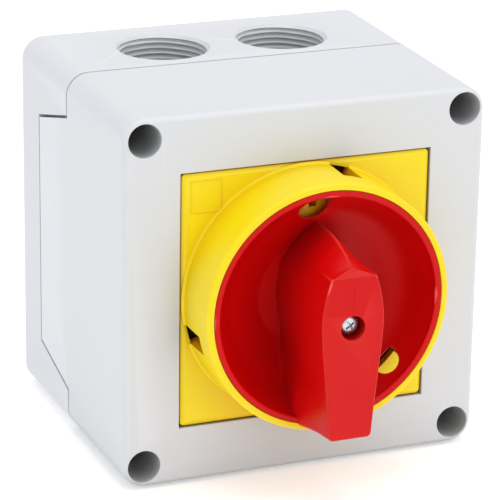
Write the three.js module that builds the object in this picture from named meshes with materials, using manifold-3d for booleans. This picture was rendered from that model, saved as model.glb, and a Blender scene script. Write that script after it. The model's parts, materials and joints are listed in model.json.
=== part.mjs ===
// Rotary isolator switch in a square moulded wall box, with a padlockable dish handle.
// Units are millimetres. +Z is up, the wall face of the box is the plane Y = 0 and the front faces -Y.
// The origin is the centre of the wall face. The handle turns about the Y axis.

import * as THREE from 'three';
import { mergeVertices } from 'three/addons/utils/BufferGeometryUtils.js';
import Module from 'manifold-3d';

// ---------------------------------------------------------------- driving dimensions

const GAP = 0.3; // clearance between pieces that meet

// Box
const BACK_HALF = 50; // half side of the box at the wall
const FRONT_HALF = 49.25; // half side at the front, a little smaller so that the mould releases
const BOX_DEPTH = 81;
const CORNER_R = 6;
const FRONT_EDGE_R = 1.3;
const PARTING_Y = -37.4; // where lid and base meet
const PARTING_GROOVE = 0.4;
const WALL = 2.6;
const RIM_HALF = 44.4; // inside half width at the thick rims that carry the seal
const RIM_DEPTH = 4.5;
const CORNER_CUT = 78.6; // inside corners are cut along |x| + |z| = this
const BACK_WALL = 3;
const TONGUE_TIP_Y = -15; // how far back the lid's side tongues reach
const TONGUE_TIP_HALF = 31.8;
const TONGUE_ROOT_HALF = 37.8;
const TONGUE_THICKNESS = 2.3;
const SEAL_HALF = 45.9; // centre line of the lid seal
const SEAL_GROOVE_WIDTH = 1.8;
const SEAL_GROOVE_DEPTH = 1.6;

// Cable entries, M25 x 1.5
const ENTRY_R = 12.2;
const ENTRY_X = 17;
const ENTRY_Y = -21;
const ENTRY_BOSS_R = 15.5;
const ENTRY_BOSS_END = 41.5;
const ENTRY_CHAMFER = 0.8;

// Lid screws
const SCREW_SPACING_HALF = 43.65;
const WELL_R = 4.35;
const WELL_FLOOR_Y = -42;
const LID_SCREW_R = 1.9;
const LID_SCREW_TIP_Y = -20;

// Wall fixing slots
const WALL_SLOT_X = 34;
const WALL_SLOT_Z = 28;
const WALL_SLOT_R = 2.6;
const WALL_SLOT_LENGTH = 4;

// Square plate let into the lid
const RECESS_HALF = 34.25;
const RECESS_DEPTH = 3.5;
const LID_FRONT_WALL = 3;
const RECESS_FLOOR = 2.5;
const PLATE_HALF = 33.9;
const PLATE_THICKNESS = 2.1;
const PLATE_CORNER_R = 1.5;
const PLATE_BEVEL = 1;
const COLLAR_R = 33;
const COLLAR_FOOT_R = 33.2;
const COLLAR_BORE_R = 31.3;
const COLLAR_HEIGHT = 16.1;
const WINDOW_HEIGHT = 9.3;
const WINDOWS = [ // degrees from +X towards +Z; the one behind the D-shaped hole is wider
  { angle: 75, span: 9.5 },
  { angle: 195, span: 9.5 },
  { angle: 315, span: 12.5 },
];
const SLOT_INNER_R = 29.5; // each window's floor is open between these radii
const SLOT_OUTER_R = 33.1;
const LAND_INNER_R = 20.8; // raised ring on the plate under the dish
const LAND_OUTER_R = 28.6;
const LAND_HEIGHT = 3.9;
const LAND_NOTCH_R = 23.3;
const LAND_NOTCHES = [{ angle: 98.6, span: 3 }, { angle: 90.3, span: 5.2 }];
const SNAP_X = 24;
const SNAP_Z = 30.5;

// Dish handle
const DISH_R = 31;
const LIP_INNER_R = 29.3;
const HUB_FLOOR_R = 14.3;
const HUB_FLOOR = 3.5; // height of the dish floor above the plate
const KNEE_R = 25.2; // where the dish turns from a gentle cone to a steep wall
const KNEE = 8.8;
const STEEP_TOP = 15.4;
const SKIRT_END = 9.5;
const DISH_WALL = 1.8;
const DISH_BACK = 0.6;
const HUB_R = 7;
const HUB_END_Y = -72.5;
const GRIP_FRONT = 30.8; // height of the grip's face above the plate
const SIDE_DRAFT = 0.045; // how much wider the grip gets per millimetre of depth
const PADLOCK_ROUND_ANGLE = 94.5;
const PADLOCK_ROUND_AT = 25.5;
const PADLOCK_ROUND_R = 4.1;
const PADLOCK_D_ANGLE = -45;
const PADLOCK_D_R = 3.6;
const PADLOCK_D_UP = 1.95; // from the knee to the middle of the D, up the steep wall
const PADLOCK_D_CHORD = 1.65; // from the middle of the D to its straight side
const COUNTERBORE_R = 3.2;
const COUNTERBORE_FLOOR = 26.6;

// Drive shaft and its seal
const SHAFT_HALF = 3;
const SOCKET_HALF = 3.3;
const SHAFT_FRONT_Y = -104.7;
const SHAFT_BACK_Y = -42.5;
const SEAL_POCKET_R = 9.7;
const SEAL_BOSS_R = 11.5;
const SEAL_BOSS_END_Y = -69;
const SEAL_POCKET_END_Y = -71.4;

// Switch body
const SWITCH_X = 24;
const SWITCH_Z = 26;
const SWITCH_BACK_Y = -9.3;
const SWITCH_SPLIT_Y = -27;
const SWITCH_FRONT_Y = -55.4;
const CHAMBER_X = 22.3;
const CHAMBER_Z = 13.2;
const POLE_PITCH = 11;
const POLES = [-1.5, -0.5, 0.5, 1.5].map((step) => step * POLE_PITCH);
const TERMINAL_HALF_WIDTH = 3.5;
const TERMINAL_INNER_Z = 8.5;
const TERMINAL_OUTER_Z = 24.5;
const TERMINAL_SCREW_Z = 19.5;
const FIXED_FACE_Y = -22.6; // front face of the fixed contact bars
const BAR_THICKNESS = 1.4;
const TIP_HEIGHT = 0.7;
const TIP_R = 2;
const TIP_Z = 10.7;
const BRIDGE_BACK_Y = -24.3;
const BRIDGE_HALF_LENGTH = 12.7;
const CONTACT_TRAVEL = 4; // how far the carrier moves as the handle turns a quarter turn
const EAR_X = 27.5;

// Rotor and carrier
const ROTOR_R = 10;
const ROTOR_BACK_Y = -40.6;
const ROTOR_SHOULDER_Y = -51;
const ROTOR_NECK_R = 8;
const ROTOR_FRONT_Y = -58.4;
const FOLLOWER_R = 1.4;
const FOLLOWER_Y = -43.4;
const CARRIER_Z = 4.5;
const CARRIER_FRONT_Y = -33.6;
const CARRIER_TOP_Y = -36.2;
const ARM_INNER_X = 10.5;
const ARM_OUTER_X = 13.4;

const FINE = 48; // segments of the dish and its collar
const ROUND = 24; // segments of bores and bosses
const SMALL = 12; // segments of small holes
const SCREW = 10; // segments of screws and contact tips

// ---------------------------------------------------------------- materials

const makeMaterial = (color, roughness, metalness) =>
  new THREE.MeshStandardMaterial({ color, roughness, metalness });

const boxGrey = makeMaterial(0xdcdddd, 0.45, 0);
const plateYellow = makeMaterial(0xf7d51d, 0.4, 0);
const handleRed = makeMaterial(0xc8151b, 0.42, 0);
const sealRubber = makeMaterial(0x3a3b3c, 0.85, 0);
const zincSteel = makeMaterial(0xb9bab4, 0.32, 1);
const switchGrey = makeMaterial(0x53575b, 0.55, 0);
const rotorWhite = makeMaterial(0xe6e3d8, 0.5, 0);
const contactCopper = makeMaterial(0xb87448, 0.35, 1);
const clampBrass = makeMaterial(0xc2a14e, 0.35, 1);
const springSteel = makeMaterial(0xa4a7aa, 0.3, 1);

// ---------------------------------------------------------------- solids

const wasm = await Module();
wasm.setup();

/** Turns a closed three.js geometry into a solid whose faces point outwards. */
function solid(source) {
  const plain = source.index ? source.toNonIndexed() : source.clone();
  plain.deleteAttribute('normal');
  plain.deleteAttribute('uv');
  const merged = mergeVertices(plain, 1e-4);
  const corners = merged.index.array;
  const kept = [];
  for (let i = 0; i < corners.length; i += 3) {
    const [a, b, c] = [corners[i], corners[i + 1], corners[i + 2]];
    if (a !== b && b !== c && c !== a) kept.push(a, b, c);
  }
  const vertProperties = new Float32Array(merged.attributes.position.array);
  const build = (indices) =>
    new wasm.Manifold(new wasm.Mesh({ numProp: 3, vertProperties, triVerts: new Uint32Array(indices) }));
  const first = build(kept);
  if (first.volume() > 0) return first;
  return build(kept.slice().reverse());
}

/** Turns a solid back into a flat-shaded three.js geometry. */
function toGeometry(body) {
  const mesh = body.getMesh();
  const geometry = new THREE.BufferGeometry();
  geometry.setAttribute('position', new THREE.BufferAttribute(new Float32Array(mesh.vertProperties), 3));
  geometry.setIndex(new THREE.BufferAttribute(new Uint32Array(mesh.triVerts), 1));
  return geometry;
}

const union = (...bodies) => bodies.reduce((sum, body) => sum.add(body));
const cut = (body, ...tools) => tools.reduce((rest, tool) => rest.subtract(tool), body);

/** A block between two corners. */
function block(low, high) {
  const size = high.map((value, i) => value - low[i]);
  const centre = high.map((value, i) => (value + low[i]) / 2);
  return solid(new THREE.BoxGeometry(...size).translate(...centre));
}

/** A shape drawn in the X-Z plane, extruded along Y between two planes. */
function prism(shape, backY, frontY, curveSegments = SMALL) {
  const depth = backY - frontY;
  const geometry = new THREE.ExtrudeGeometry(shape, { depth, bevelEnabled: false, curveSegments });
  return solid(geometry.rotateX(Math.PI / 2).translate(0, backY, 0));
}

/** A profile of [radius, y] points turned about the Y axis. */
function turned(profile, segments = ROUND) {
  const points = profile.map(([radius, y]) => new THREE.Vector2(radius, y));
  return solid(new THREE.LatheGeometry(points, segments));
}

/** A cylinder along Y at (x, z). */
function rod(radius, backY, frontY, x = 0, z = 0, segments = SMALL) {
  const geometry = new THREE.CylinderGeometry(radius, radius, backY - frontY, segments);
  return solid(geometry.translate(x, (backY + frontY) / 2, z));
}

/** A closed polygon from [x, z] points. */
const polygon = (points) => new THREE.Shape(points.map(([x, z]) => new THREE.Vector2(x, z)));

/** Joins rings of equal point count into one closed skin. Each ring is a list of [x, y, z]. */
function loft(rings) {
  const count = rings[0].length;
  const positions = rings.flat(2);
  const indices = [];
  for (let r = 0; r + 1 < rings.length; r += 1) {
    for (let i = 0; i < count; i += 1) {
      const a = r * count + i;
      const b = r * count + ((i + 1) % count);
      indices.push(a, b, b + count, a, b + count, a + count);
    }
  }
  const last = (rings.length - 1) * count;
  for (let i = 1; i + 1 < count; i += 1) {
    indices.push(0, i + 1, i, last, last + i, last + i + 1);
  }
  const geometry = new THREE.BufferGeometry();
  geometry.setAttribute('position', new THREE.Float32BufferAttribute(positions, 3));
  geometry.setIndex(indices);
  return solid(geometry);
}

/** A square ring with round corners, as [x, y, z] points at one depth. */
function roundedSquare(half, radius, y, steps = 4) {
  const ring = [];
  for (let corner = 0; corner < 4; corner += 1) {
    const start = (corner * Math.PI) / 2;
    const middle = start + Math.PI / 4;
    const centreX = Math.sign(Math.cos(middle)) * (half - radius);
    const centreZ = Math.sign(Math.sin(middle)) * (half - radius);
    for (let i = 0; i <= steps; i += 1) {
      const angle = start + ((Math.PI / 2) * i) / steps;
      ring.push([centreX + radius * Math.cos(angle), y, centreZ + radius * Math.sin(angle)]);
    }
  }
  return ring;
}

/** A square with its corners cut along |x| + |z| = limit. */
function cutSquare(half, limit) {
  const other = limit - half;
  return polygon([
    [half, -other], [half, other], [other, half], [-other, half],
    [-half, other], [-half, -other], [-other, -half], [other, -half],
  ]);
}

const corners = [[1, 1], [-1, 1], [-1, -1], [1, -1]];
const halfAt = (y) => BACK_HALF + ((BACK_HALF - FRONT_HALF) * y) / BOX_DEPTH;
const FRONT_Y = -BOX_DEPTH;

const group = new THREE.Group();

function place(name, body, material) {
  const mesh = new THREE.Mesh(toGeometry(body), material);
  mesh.name = name;
  group.add(mesh);
}

// ---------------------------------------------------------------- box

/** The whole outer form of the closed box. */
function boxForm() {
  const rings = [roundedSquare(BACK_HALF, CORNER_R, 0)];
  const steps = 3;
  for (let i = 0; i <= steps; i += 1) {
    const angle = ((Math.PI / 2) * i) / steps;
    const y = FRONT_Y + FRONT_EDGE_R * (1 - Math.sin(angle));
    const inset = FRONT_EDGE_R * (1 - Math.cos(angle));
    rings.push(roundedSquare(halfAt(y) - inset, CORNER_R - inset, y));
  }
  return loft(rings);
}

/** The side tongue's outline in depth and height, as a block pair left and right. */
function tongueZone(grow, innerX) {
  const outline = new THREE.Shape([
    new THREE.Vector2(PARTING_Y - 1, TONGUE_ROOT_HALF + grow),
    new THREE.Vector2(PARTING_Y + grow, TONGUE_ROOT_HALF + grow),
    new THREE.Vector2(TONGUE_TIP_Y + grow, TONGUE_TIP_HALF + grow),
    new THREE.Vector2(TONGUE_TIP_Y + grow, -TONGUE_TIP_HALF - grow),
    new THREE.Vector2(PARTING_Y + grow, -TONGUE_ROOT_HALF - grow),
    new THREE.Vector2(PARTING_Y - 1, -TONGUE_ROOT_HALF - grow),
  ]);
  const depth = BACK_HALF + 1 - innerX;
  // The outline's x is depth (Y) and its y is height (Z); the extrusion runs along X.
  const turn = new THREE.Matrix4().makeBasis(
    new THREE.Vector3(0, 1, 0), new THREE.Vector3(0, 0, 1), new THREE.Vector3(1, 0, 0),
  );
  const make = (shift) => {
    const geometry = new THREE.ExtrudeGeometry(outline, { depth, bevelEnabled: false });
    return solid(geometry.applyMatrix4(turn).translate(shift, 0, 0));
  };
  return union(make(innerX), make(-innerX - depth));
}

/** Everything in front of a plane across Y. */
const inFrontOf = (y) => block([-BACK_HALF - 1, FRONT_Y - 1, -BACK_HALF - 1],
  [BACK_HALF + 1, y, BACK_HALF + 1]);
const behind = (y) => block([-BACK_HALF - 1, y, -BACK_HALF - 1], [BACK_HALF + 1, 1, BACK_HALF + 1]);

/** A vertical round tool or boss at one cable entry; side is +1 for the top and -1 for the bottom. */
function entryRod(radius, fromZ, toZ, x, side) {
  const geometry = new THREE.CylinderGeometry(radius, radius, toZ - fromZ, ROUND);
  return solid(geometry.rotateX(Math.PI / 2).translate(x, ENTRY_Y, (side * (fromZ + toZ)) / 2));
}

/** The slight funnel at the mouth of a cable entry. */
function entryMouth(x, side) {
  const height = 2 * ENTRY_CHAMFER;
  const top = halfAt(ENTRY_Y) + ENTRY_CHAMFER;
  const geometry = new THREE.CylinderGeometry(ENTRY_R + height, ENTRY_R, height, ROUND);
  geometry.rotateX((side * Math.PI) / 2);
  return solid(geometry.translate(x, ENTRY_Y, side * (top - height / 2)));
}

const entries = [];
for (const side of [1, -1]) {
  for (const x of [-ENTRY_X, ENTRY_X]) entries.push({ x, side });
}

function makeBase() {
  const form = boxForm().intersect(behind(PARTING_Y + PARTING_GROOVE / 2));
  const rimBack = PARTING_Y + RIM_DEPTH;
  const narrow = polygon([
    [RIM_HALF, -(CORNER_CUT - RIM_HALF)], [RIM_HALF, CORNER_CUT - RIM_HALF],
    [CORNER_CUT - 47, 47], [-(CORNER_CUT - 47), 47],
    [-RIM_HALF, CORNER_CUT - RIM_HALF], [-RIM_HALF, -(CORNER_CUT - RIM_HALF)],
    [-(CORNER_CUT - 47), -47], [CORNER_CUT - 47, -47],
  ]);
  let body = cut(
    form,
    prism(narrow, -BACK_WALL, rimBack),
    prism(cutSquare(RIM_HALF, CORNER_CUT), -BACK_WALL - 1, PARTING_Y - 1),
    tongueZone(PARTING_GROOVE, BACK_HALF - TONGUE_THICKNESS - 2 * GAP),
  );
  const room = boxForm();
  const bosses = entries.map(({ x, side }) =>
    entryRod(ENTRY_BOSS_R, ENTRY_BOSS_END, halfAt(ENTRY_Y) - 1, x, side));
  const earPosts = [-EAR_X, EAR_X].map((x) => rod(4.6, -1, SWITCH_BACK_Y + GAP, x, 0));
  body = union(body, ...bosses.map((boss) => boss.intersect(room)), ...earPosts);
  const holes = entries.flatMap(({ x, side }) => [
    entryRod(ENTRY_R, ENTRY_BOSS_END - 1, BACK_HALF + 2, x, side),
    entryMouth(x, side),
  ]);
  const pilots = corners.map(([sx, sz]) =>
    rod(LID_SCREW_R + GAP, LID_SCREW_TIP_Y + 2, PARTING_Y - 2,
      sx * SCREW_SPACING_HALF, sz * SCREW_SPACING_HALF));
  const earHoles = [-EAR_X, EAR_X].map((x) => rod(1.6 + GAP, -BACK_WALL - 0.6, SWITCH_BACK_Y - 1, x, 0));
  const slots = corners.map(([sx, sz]) => wallSlot(sx * WALL_SLOT_X, sz * WALL_SLOT_Z));
  return cut(body, sealRing(SEAL_GROOVE_WIDTH / 2, PARTING_Y + SEAL_GROOVE_DEPTH, PARTING_Y - 1),
    ...holes, ...pilots, ...earHoles, ...slots);
}

/** An upright slot through the back wall. */
function wallSlot(x, z) {
  const half = WALL_SLOT_LENGTH / 2;
  const shape = new THREE.Shape();
  shape.absarc(x, z + half, WALL_SLOT_R, 0, Math.PI, false);
  shape.absarc(x, z - half, WALL_SLOT_R, Math.PI, 2 * Math.PI, false);
  return prism(shape, 1, -BACK_WALL - 1, 6);
}

/** The ring that the lid seal and its groove follow, inside the four lid screws. */
function sealRing(halfWidth, backY, frontY) {
  const diagonal = 82.2;
  const grow = halfWidth * (Math.SQRT2 - 1) * Math.SQRT2;
  const outer = prism(cutSquare(SEAL_HALF + halfWidth, diagonal + grow + halfWidth), backY, frontY);
  const inner = prism(cutSquare(SEAL_HALF - halfWidth, diagonal - grow - halfWidth), backY + 1, frontY - 1);
  return outer.subtract(inner);
}

function makeLid() {
  const zone = union(
    inFrontOf(PARTING_Y - PARTING_GROOVE / 2),
    tongueZone(0, BACK_HALF - TONGUE_THICKNESS - GAP),
  );
  const frontInside = FRONT_Y + LID_FRONT_WALL;
  let body = cut(
    boxForm().intersect(zone),
    prism(cutSquare(RIM_HALF, CORNER_CUT), PARTING_Y + 1, PARTING_Y - RIM_DEPTH - 1),
    prism(cutSquare(FRONT_HALF - WALL, CORNER_CUT), PARTING_Y - RIM_DEPTH, frontInside),
  );
  const floorY = FRONT_Y + RECESS_DEPTH;
  const tray = RECESS_HALF + RECESS_FLOOR;
  const square = (half) => polygon([[half, -half], [half, half], [-half, half], [-half, -half]]);
  body = union(
    body,
    prism(square(tray), floorY + RECESS_FLOOR, FRONT_Y + 1),
    rod(SEAL_BOSS_R, SEAL_BOSS_END_Y, floorY, 0, 0, ROUND),
  );
  const wells = corners.flatMap(([sx, sz]) => {
    const [x, z] = [sx * SCREW_SPACING_HALF, sz * SCREW_SPACING_HALF];
    return [
      rod(WELL_R, WELL_FLOOR_Y, FRONT_Y - 1, x, z, ROUND),
      rod(LID_SCREW_R + GAP, PARTING_Y + 1, WELL_FLOOR_Y - 1, x, z),
    ];
  });
  const snapSlots = corners.map(([sx, sz]) => snapBlock(sx, sz, 0.35, floorY + RECESS_FLOOR + 1, floorY - 1));
  return cut(
    body,
    prism(square(RECESS_HALF), floorY, FRONT_Y - 1),
    rod(SEAL_POCKET_R, SEAL_POCKET_END_Y, floorY - 1, 0, 0, ROUND),
    rod(5, SEAL_BOSS_END_Y + 1, SEAL_POCKET_END_Y - 1, 0, 0, ROUND),
    ...wells, ...snapSlots,
  );
}

/** The room of one snap leg, grown on all sides. */
function snapBlock(sx, sz, grow, backY, frontY) {
  const [x, z] = [sx * SNAP_X, sz * SNAP_Z];
  return block([x - 2.5 - grow, frontY, z - 1 - grow], [x + 2.5 + grow, backY, z + 1 + grow]);
}

place('base_box', makeBase(), boxGrey);
place('lid', makeLid(), boxGrey);
place('lid_gasket',
  sealRing(SEAL_GROOVE_WIDTH / 2 - GAP, PARTING_Y + SEAL_GROOVE_DEPTH - GAP, PARTING_Y + GAP / 2),
  sealRubber);

// ---------------------------------------------------------------- screws

/** A screw along Y: a domed head in front, a shank behind, and a cross or slot in the head. */
function screw({ x, z, headFrontY, headR, headHeight, shankR, tipY, recess }) {
  const headBackY = headFrontY + headHeight;
  const edge = headHeight * 0.25;
  const body = turned([
    [0, headFrontY],
    [headR * 0.8, headFrontY + edge * 0.4],
    [headR, headFrontY + 1.6 * edge],
    [headR, headBackY],
    [shankR, headBackY],
    [shankR, tipY],
    [0, tipY],
  ], SCREW).translate([x, 0, z]);
  const half = headR * 0.16;
  const reach = headR * (recess === 'cross' ? 0.55 : 1.2);
  const floorY = headFrontY + headHeight * 0.55;
  const bars = [block([x - reach, headFrontY - 1, z - half], [x + reach, floorY, z + half])];
  if (recess === 'cross') {
    bars.push(block([x - half, headFrontY - 1, z - reach], [x + half, floorY, z + reach]));
  }
  return cut(body, ...bars);
}

corners.forEach(([sx, sz], i) => {
  place(`lid_screw_${i + 1}`, screw({
    x: sx * SCREW_SPACING_HALF, z: sz * SCREW_SPACING_HALF,
    headFrontY: WELL_FLOOR_Y - 3.8, headR: 3.7, headHeight: 3.5,
    shankR: LID_SCREW_R, tipY: LID_SCREW_TIP_Y, recess: 'cross',
  }), zincSteel);
});

place('handle_screw', screw({
  x: 0, z: 0, headFrontY: FRONT_Y - GRIP_FRONT + 1.9, headR: 2.75, headHeight: 2,
  shankR: 1.4, tipY: -96, recess: 'cross',
}), zincSteel);

// ---------------------------------------------------------------- escutcheon

const radians = (degrees) => (degrees * Math.PI) / 180;

/** A wedge from the axis outwards, centred on one angle. */
function sector(angle, span, radius, backY, frontY) {
  const points = [[0, 0]];
  const steps = 4;
  for (let i = 0; i <= steps; i += 1) {
    const at = radians(angle - span / 2 + (span * i) / steps);
    points.push([radius * Math.cos(at), radius * Math.sin(at)]);
  }
  return prism(polygon(points), backY, frontY);
}

function makeEscutcheon() {
  const plate = loft([
    roundedSquare(PLATE_HALF, PLATE_CORNER_R, FRONT_Y + PLATE_THICKNESS, 3),
    roundedSquare(PLATE_HALF, PLATE_CORNER_R, FRONT_Y + 0.5, 3),
    roundedSquare(PLATE_HALF - PLATE_BEVEL, PLATE_CORNER_R, FRONT_Y, 3),
  ]);
  const rimY = FRONT_Y - COLLAR_HEIGHT;
  const collar = turned([
    [COLLAR_BORE_R, FRONT_Y + 1],
    [COLLAR_FOOT_R, FRONT_Y + 1],
    [COLLAR_FOOT_R, FRONT_Y],
    [COLLAR_R, rimY + 0.8],
    [COLLAR_R - 0.25, rimY + 0.25],
    [COLLAR_R - 0.8, rimY],
    [COLLAR_BORE_R + 0.3, rimY],
    [COLLAR_BORE_R, rimY + 0.3],
    [COLLAR_BORE_R, FRONT_Y + 1],
  ], FINE);
  const legs = corners.map(([sx, sz]) => {
    const legEndY = FRONT_Y + RECESS_DEPTH + RECESS_FLOOR + 2;
    const z = sz * SNAP_Z;
    const catchY = legEndY - 1.6;
    const barb = block(
      [sx * SNAP_X - 2.5, catchY, Math.min(z, z + sz * 1.9)],
      [sx * SNAP_X + 2.5, legEndY, Math.max(z, z + sz * 1.9)],
    );
    return union(snapBlock(sx, sz, 0, legEndY, FRONT_Y + 1), barb);
  });
  const disc = (radius, grow) =>
    rod(radius, FRONT_Y + 1 + grow, FRONT_Y - LAND_HEIGHT - grow, 0, 0, FINE);
  const notches = LAND_NOTCHES.map(({ angle, span }) =>
    sector(angle, span, COLLAR_BORE_R, FRONT_Y, FRONT_Y - LAND_HEIGHT - 1)
      .subtract(disc(LAND_NOTCH_R, 1)));
  const land = cut(disc(LAND_OUTER_R, 0), disc(LAND_INNER_R, 1), ...notches);
  const throughY = FRONT_Y + PLATE_THICKNESS + 1;
  const slotCore = rod(SLOT_INNER_R, throughY + 1, FRONT_Y - 1, 0, 0, FINE);
  const windows = WINDOWS.flatMap(({ angle, span }) => [
    sector(angle, span, COLLAR_R + 3, FRONT_Y, FRONT_Y - WINDOW_HEIGHT),
    sector(angle, span, SLOT_OUTER_R, throughY, FRONT_Y - 0.5).subtract(slotCore),
  ]);
  return cut(union(plate, collar, land, ...legs), ...windows,
    rod(HUB_R + GAP, throughY, FRONT_Y - 1, 0, 0, ROUND));
}

/** The thin rubber sheet under the plate, open around the shaft seal and the snap legs. */
function makePlateGasket() {
  const half = PLATE_HALF - GAP;
  const backY = FRONT_Y + RECESS_DEPTH - GAP;
  const frontY = FRONT_Y + PLATE_THICKNESS + GAP;
  const legHoles = corners.map(([sx, sz]) => snapBlock(sx, sz, GAP, backY + 1, frontY - 1));
  return cut(
    prism(cutSquare(half, 2 * half - PLATE_CORNER_R), backY, frontY),
    rod(SEAL_POCKET_R, backY + 1, frontY - 1, 0, 0, ROUND),
    ...legHoles,
  );
}

place('escutcheon', makeEscutcheon(), plateYellow);
place('escutcheon_gasket', makePlateGasket(), sealRubber);

// ---------------------------------------------------------------- dish handle

const coneSlope = (KNEE - HUB_FLOOR) / (KNEE_R - HUB_FLOOR_R);
const steepSlope = (STEEP_TOP - KNEE) / (LIP_INNER_R - KNEE_R);

/** The dish: a lip, a steep wall, a gentle cone down to a flat floor, a skirt and the hub. */
function dishBody() {
  const at = (height) => FRONT_Y - height;
  const coneBack = (radius) =>
    HUB_FLOOR + coneSlope * (radius - HUB_FLOOR_R) - DISH_WALL * Math.hypot(1, coneSlope);
  const steepBack = (radius) =>
    KNEE + steepSlope * (radius - KNEE_R) - DISH_WALL * Math.hypot(1, steepSlope);
  const backStartR = HUB_FLOOR_R + (DISH_BACK - coneBack(HUB_FLOOR_R)) / coneSlope;
  const backKneeR = KNEE_R + (coneBack(KNEE_R) - steepBack(KNEE_R)) / (steepSlope - coneSlope);
  const skirtInnerR = DISH_R - 1.6;
  return turned([
    [0, at(HUB_FLOOR)],
    [HUB_FLOOR_R, at(HUB_FLOOR)],
    [KNEE_R, at(KNEE)],
    [LIP_INNER_R, at(STEEP_TOP)],
    [LIP_INNER_R + 0.2, at(COLLAR_HEIGHT - 0.2)],
    [LIP_INNER_R + 0.5, at(COLLAR_HEIGHT)],
    [DISH_R - 0.4, at(COLLAR_HEIGHT)],
    [DISH_R, at(COLLAR_HEIGHT - 0.4)],
    [DISH_R, at(SKIRT_END)],
    [skirtInnerR, at(SKIRT_END)],
    [skirtInnerR, at(steepBack(skirtInnerR))],
    [backKneeR, at(coneBack(backKneeR))],
    [backStartR, at(DISH_BACK)],
    [HUB_R, at(DISH_BACK)],
    [HUB_R, HUB_END_Y],
    [0, HUB_END_Y],
  ], FINE);
}

// The grip's right-hand outline at its face, from the nose's middle down to the foot's middle.
const GRIP_OUTLINE = [
  [6.08, 13.2], [7.5, 8.3], [8.3, 2.5], [8.1, -3], [7.5, -10], [6.6, -20], [5.8, -28.2],
];
// Height above the plate, the nose's apex, and the foot's lowest point there.
const GRIP_SECTIONS = [
  { height: GRIP_FRONT, nose: 13.2, swell: 0, foot: -29.8 },
  { height: 29, nose: 15.35, swell: 0, foot: -30 },
  { height: 25, nose: 17.4, swell: 0.2, foot: -30.3 },
  { height: 20, nose: 19.2, swell: 0.3, foot: -30.7 },
  { height: 16.6, nose: 19.9, swell: 0.35, foot: -30.9 },
  { height: 15, nose: 20.1, swell: 0.4, foot: -29.6 },
  { height: 13, nose: 20.2, swell: 0.4, foot: -28.4 },
  { height: 9, nose: 20.3, swell: 0.45, foot: -26.2 },
  { height: 7.2, nose: 20.2, swell: 0.45, foot: -23.8 },
  { height: 5.3, nose: 20.1, swell: 0.45, foot: -19.8 },
  { height: 2.4, nose: 15, swell: 0.45, foot: -14 },
];
const NOSE_BLEND = 3; // length below the nose's corner over which the side takes up its draft

/** One closed ring of the grip at a height above the plate. */
function gripRing({ height, nose, swell, foot }) {
  const wider = SIDE_DRAFT * (GRIP_FRONT - height);
  const topZ = GRIP_OUTLINE[0][1];
  const side = GRIP_OUTLINE.map(([x, z]) => {
    const squeeze = z < 0 ? foot / GRIP_SECTIONS[0].foot : 1;
    return [x + wider * Math.min(1, (topZ - z) / NOSE_BLEND), z * squeeze];
  });
  const [cornerX, cornerZ] = side[0];
  const [footX] = side[side.length - 1];
  const shoulder = [cornerX / 2, (nose + cornerZ) / 2 + swell];
  const right = [shoulder, ...side, [footX - 0.5, foot + 0.35], [footX - 1.6, foot]];
  const left = right.map(([x, z]) => [-x, z]).reverse();
  const outline = [[0, nose], ...right, ...left];
  return outline.map(([x, z]) => [x, FRONT_Y - height, z]);
}

/** The D-shaped padlock hole: most of a disc, bored square to the steep wall above the knee. */
function padlockD() {
  const half = Math.acos(PADLOCK_D_CHORD / PADLOCK_D_R);
  const shape = new THREE.Shape();
  shape.absarc(0, 0, PADLOCK_D_R, half - Math.PI, Math.PI - half, false);
  const [backReach, frontReach] = [7, 4];
  const tilt = Math.atan(steepSlope);
  const upR = KNEE_R + PADLOCK_D_UP * Math.cos(tilt);
  const upHeight = KNEE + PADLOCK_D_UP * Math.sin(tilt);
  return prism(shape, backReach, -frontReach, 6)
    .rotate([0, 0, (-tilt * 180) / Math.PI])
    .translate([upR, FRONT_Y - upHeight, 0])
    .rotate([0, -PADLOCK_D_ANGLE, 0]);
}

function makeDishHandle() {
  const turn = radians(PADLOCK_ROUND_ANGLE);
  const roundHole = rod(PADLOCK_ROUND_R, FRONT_Y, FRONT_Y - COLLAR_HEIGHT + 0.8,
    PADLOCK_ROUND_AT * Math.cos(turn), PADLOCK_ROUND_AT * Math.sin(turn), 28);
  const lipGuard = turned([
    [LIP_INNER_R - 0.1, FRONT_Y],
    [DISH_R + 2, FRONT_Y],
    [DISH_R + 2, FRONT_Y - COLLAR_HEIGHT - 1],
    [LIP_INNER_R - 0.1, FRONT_Y - COLLAR_HEIGHT - 1],
    [LIP_INNER_R - 0.1, FRONT_Y],
  ], FINE);
  const screwPassR = 1.4 + GAP;
  return cut(
    union(dishBody(), loft(GRIP_SECTIONS.map(gripRing))),
    roundHole.subtract(lipGuard),
    padlockD(),
    rod(COUNTERBORE_R, FRONT_Y - COUNTERBORE_FLOOR, FRONT_Y - GRIP_FRONT - 1, 0, 0, 28),
    rod(screwPassR, SHAFT_FRONT_Y, FRONT_Y - GRIP_FRONT, 0, 0),
    block([-SOCKET_HALF, SHAFT_FRONT_Y - GAP, -SOCKET_HALF], [SOCKET_HALF, HUB_END_Y + 1, SOCKET_HALF]),
  );
}

place('dish_handle', makeDishHandle(), handleRed);

// ---------------------------------------------------------------- drive shaft and seal

place('drive_shaft', cut(
  block([-SHAFT_HALF, SHAFT_FRONT_Y, -SHAFT_HALF], [SHAFT_HALF, SHAFT_BACK_Y, SHAFT_HALF]),
  rod(1.4 + GAP, -94, SHAFT_FRONT_Y - 1),
), zincSteel);

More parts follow.
